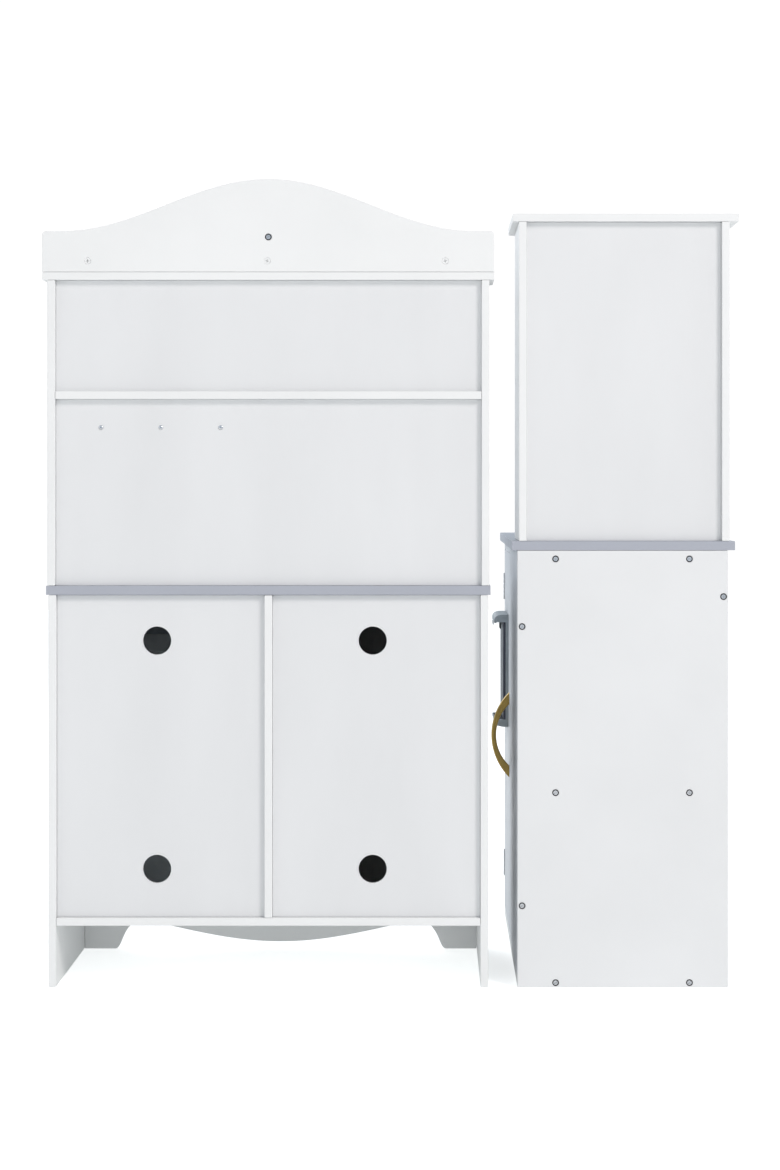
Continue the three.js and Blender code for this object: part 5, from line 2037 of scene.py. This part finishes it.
@dataclass
class Microwave(Assembly):
    """The microwave door in the tower, with its window, knob, scale and handle."""

    def build(self) -> None:
        """Makes the microwave's front."""
        node = "microwave_door"
        low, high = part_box(node)
        hinge = Hinge(length=32 * MM)
        ends = ((low.x, low.y, low.z), (low.x, low.y, high.z))
        places = hinge.places(*ends, (0.17, 0.83), (X_WAY, Z_WAY, Y_WAY))
        x, _, z = middle_of("microwave_knob")
        knob = Vector((x, low.y, z))
        place = Facing.FRONT.matrix(knob)
        hole = drill(SPINDLE_HOLE, -13 * MM, 1 * MM, place)
        GlazedFront().fit(self, node, "microwave_window", [*map(hinge.notch, places), hole], node)
        for level, where in zip(("low", "high"), places):
            hinge.fit(self, f"microwave_hinge_{level}", where, node)
        Knob().fit(self, "microwave_knob", place)
        tick = self.hardware.mark("minute_tick", (0.4, 0.12, 1.4))
        scale = self.hardware.dial.make("microwave_knob_scale", tick, SLATE, Count=24, Radius=22.2 * MM,
            Angle_Step=math.radians(15), Middle=knob)
        self.add(scale, SLATE, node)
        handle_on(self, "microwave_handle", Z_WAY, -Y_WAY, node, GOLD, Face.of(node, Facing.BACK))
        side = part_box("tower_side_right")[0].x
        spot = Facing.FRONT.matrix((side - 4.6 * MM, high.y, (low.z + high.z) / 2))
        Catch().fit(self, "microwave_catch", spot @ UPRIGHT, node)


# ---- studio


@dataclass(frozen=True)
class Studio:
    """A pale floor, soft light and the camera."""

    camera_place: Triple = (-0.051, 3.425, 0.657)
    camera_lens: float = 74.55
    camera_shift: tuple[float, float] = (-0.034, -0.088)
    floor_half: float = 9.0
    floor_glow: float = 0.42
    floor_bounce: float = 0.22

    def floor(self) -> None:
        """Lays the floor."""
        outline = Ring((-self.floor_half, -self.floor_half), (self.floor_half, self.floor_half), 0.0, 0.5)
        plane = skin("studio_floor", Facing.UP.matrix((0, 0, -0.5 * MM)),
            [outline.moved(0, -10 * MM), outline])
        s = Shader("studio_floor_paint")
        s.feed("Base Color", s.blend(s.span(s.noise(1.2, 2.0), 0.0, 1.0), (0.84, 0.86, 0.86),
            (0.88, 0.9, 0.9)))
        s.feed("Roughness", s.span(s.noise(9.0, 3.0), 0.6, 0.75))
        rays = s.tree.nodes.new("ShaderNodeLightPath")
        glow = s.tree.nodes.new("ShaderNodeMath")
        glow.operation = "MULTIPLY_ADD"
        glow.inputs[1].default_value = self.floor_glow
        glow.inputs[2].default_value = self.floor_bounce
        s.tree.links.new(rays.outputs["Is Camera Ray"], glow.inputs[0])
        s.feed("Emission Strength", glow.outputs["Value"])
        s.set(Emission_Color=(0.985, 1, 1, 1), Specular_IOR_Level=0.1)
        plane.data.materials.append(s.material)

    def lamp(self, name: str, place: Point, aim: Point, size: float, power: float,
            colour: Triple = (1.0, 1.0, 1.0)) -> None:
        """Hangs one soft light.

        Args:
            name: the light's name.
            place: where it hangs.
            aim: the point that it looks at.
            size: the side of its square face.
            power: in watts.
            colour: its colour.
        """
        light = bpy.data.lights.new(name, "AREA")
        light.size = size
        light.energy = power
        light.color = colour
        holder = linked(name, light)
        holder.location = Vector(place)
        holder.rotation_euler = (Vector(aim) - Vector(place)).to_track_quat("-Z", "Y").to_euler()

    def sky(self) -> None:
        """Makes the surroundings: soft light from all round, on a white background."""
        world = bpy.data.worlds.new("studio_white")
        world.use_nodes = True
        tree = world.node_tree
        soft = tree.nodes["Background"]
        white, mirrored = (tree.nodes.new("ShaderNodeBackground") for _ in range(2))
        for light, colour, strength in ((soft, (0.945, 0.962, 0.99, 1), 0.56), (white, (1, 1, 1, 1), 1.05),
                (mirrored, (0.80, 0.90, 1.0, 1), 0.9)):
            light.inputs["Color"].default_value = colour
            light.inputs["Strength"].default_value = strength
        rays = tree.nodes.new("ShaderNodeLightPath")
        seen = soft.outputs["Background"]
        for ray, sky in (("Is Glossy Ray", mirrored), ("Is Camera Ray", white)):
            mix = tree.nodes.new("ShaderNodeMixShader")
            tree.links.new(rays.outputs[ray], mix.inputs["Fac"])
            tree.links.new(seen, mix.inputs[1])
            tree.links.new(sky.outputs["Background"], mix.inputs[2])
            seen = mix.outputs["Shader"]
        tree.links.new(seen, tree.nodes["World Output"].inputs["Surface"])
        bpy.context.scene.world = world

    def camera(self) -> None:
        """Sets up the camera, level and square to the backs."""
        data = bpy.data.cameras.new("camera")
        data.lens = self.camera_lens
        data.sensor_width = 36.0
        data.sensor_fit = "AUTO"
        data.shift_x, data.shift_y = self.camera_shift
        holder = linked("camera", data)
        holder.location = Vector(self.camera_place)
        holder.rotation_euler = (math.radians(90), 0, math.radians(180))
        bpy.context.scene.camera = holder

    def build(self) -> None:
        """Sets up the studio."""
        self.camera()
        self.floor()
        self.sky()
        middle = (0, 0.1, 0.5)
        self.lamp("key", (-3.6, 4.4, 4.6), middle, 1.9, 206.0, (1.0, 0.95, 0.93))
        self.lamp("fill", (2.4, 2.2, 1.6), middle, 2.2, 8.0)
        self.lamp("front", (1.6, -2.9, 2.3), middle, 2.0, 40.0)
        bpy.context.scene.view_settings.view_transform = "Standard"


def main() -> None:
    """Builds the kitchen, one sub-assembly after the other, and the studio round it."""
    Studio().build()
    hardware = Hardware()
    for kind in (MainUnit, Hutch, Clock, HookRail, Stove, Oven, Sink, CornerUnit, Fridge, Tower, Microwave):
        assembly = kind(hardware)
        log.info("%s", kind.__name__)
        assembly.build()
        log.info("%s has %d pieces", kind.__name__, assembly.count)
    hardware.put_away()


if __name__ == "__main__":
    main()
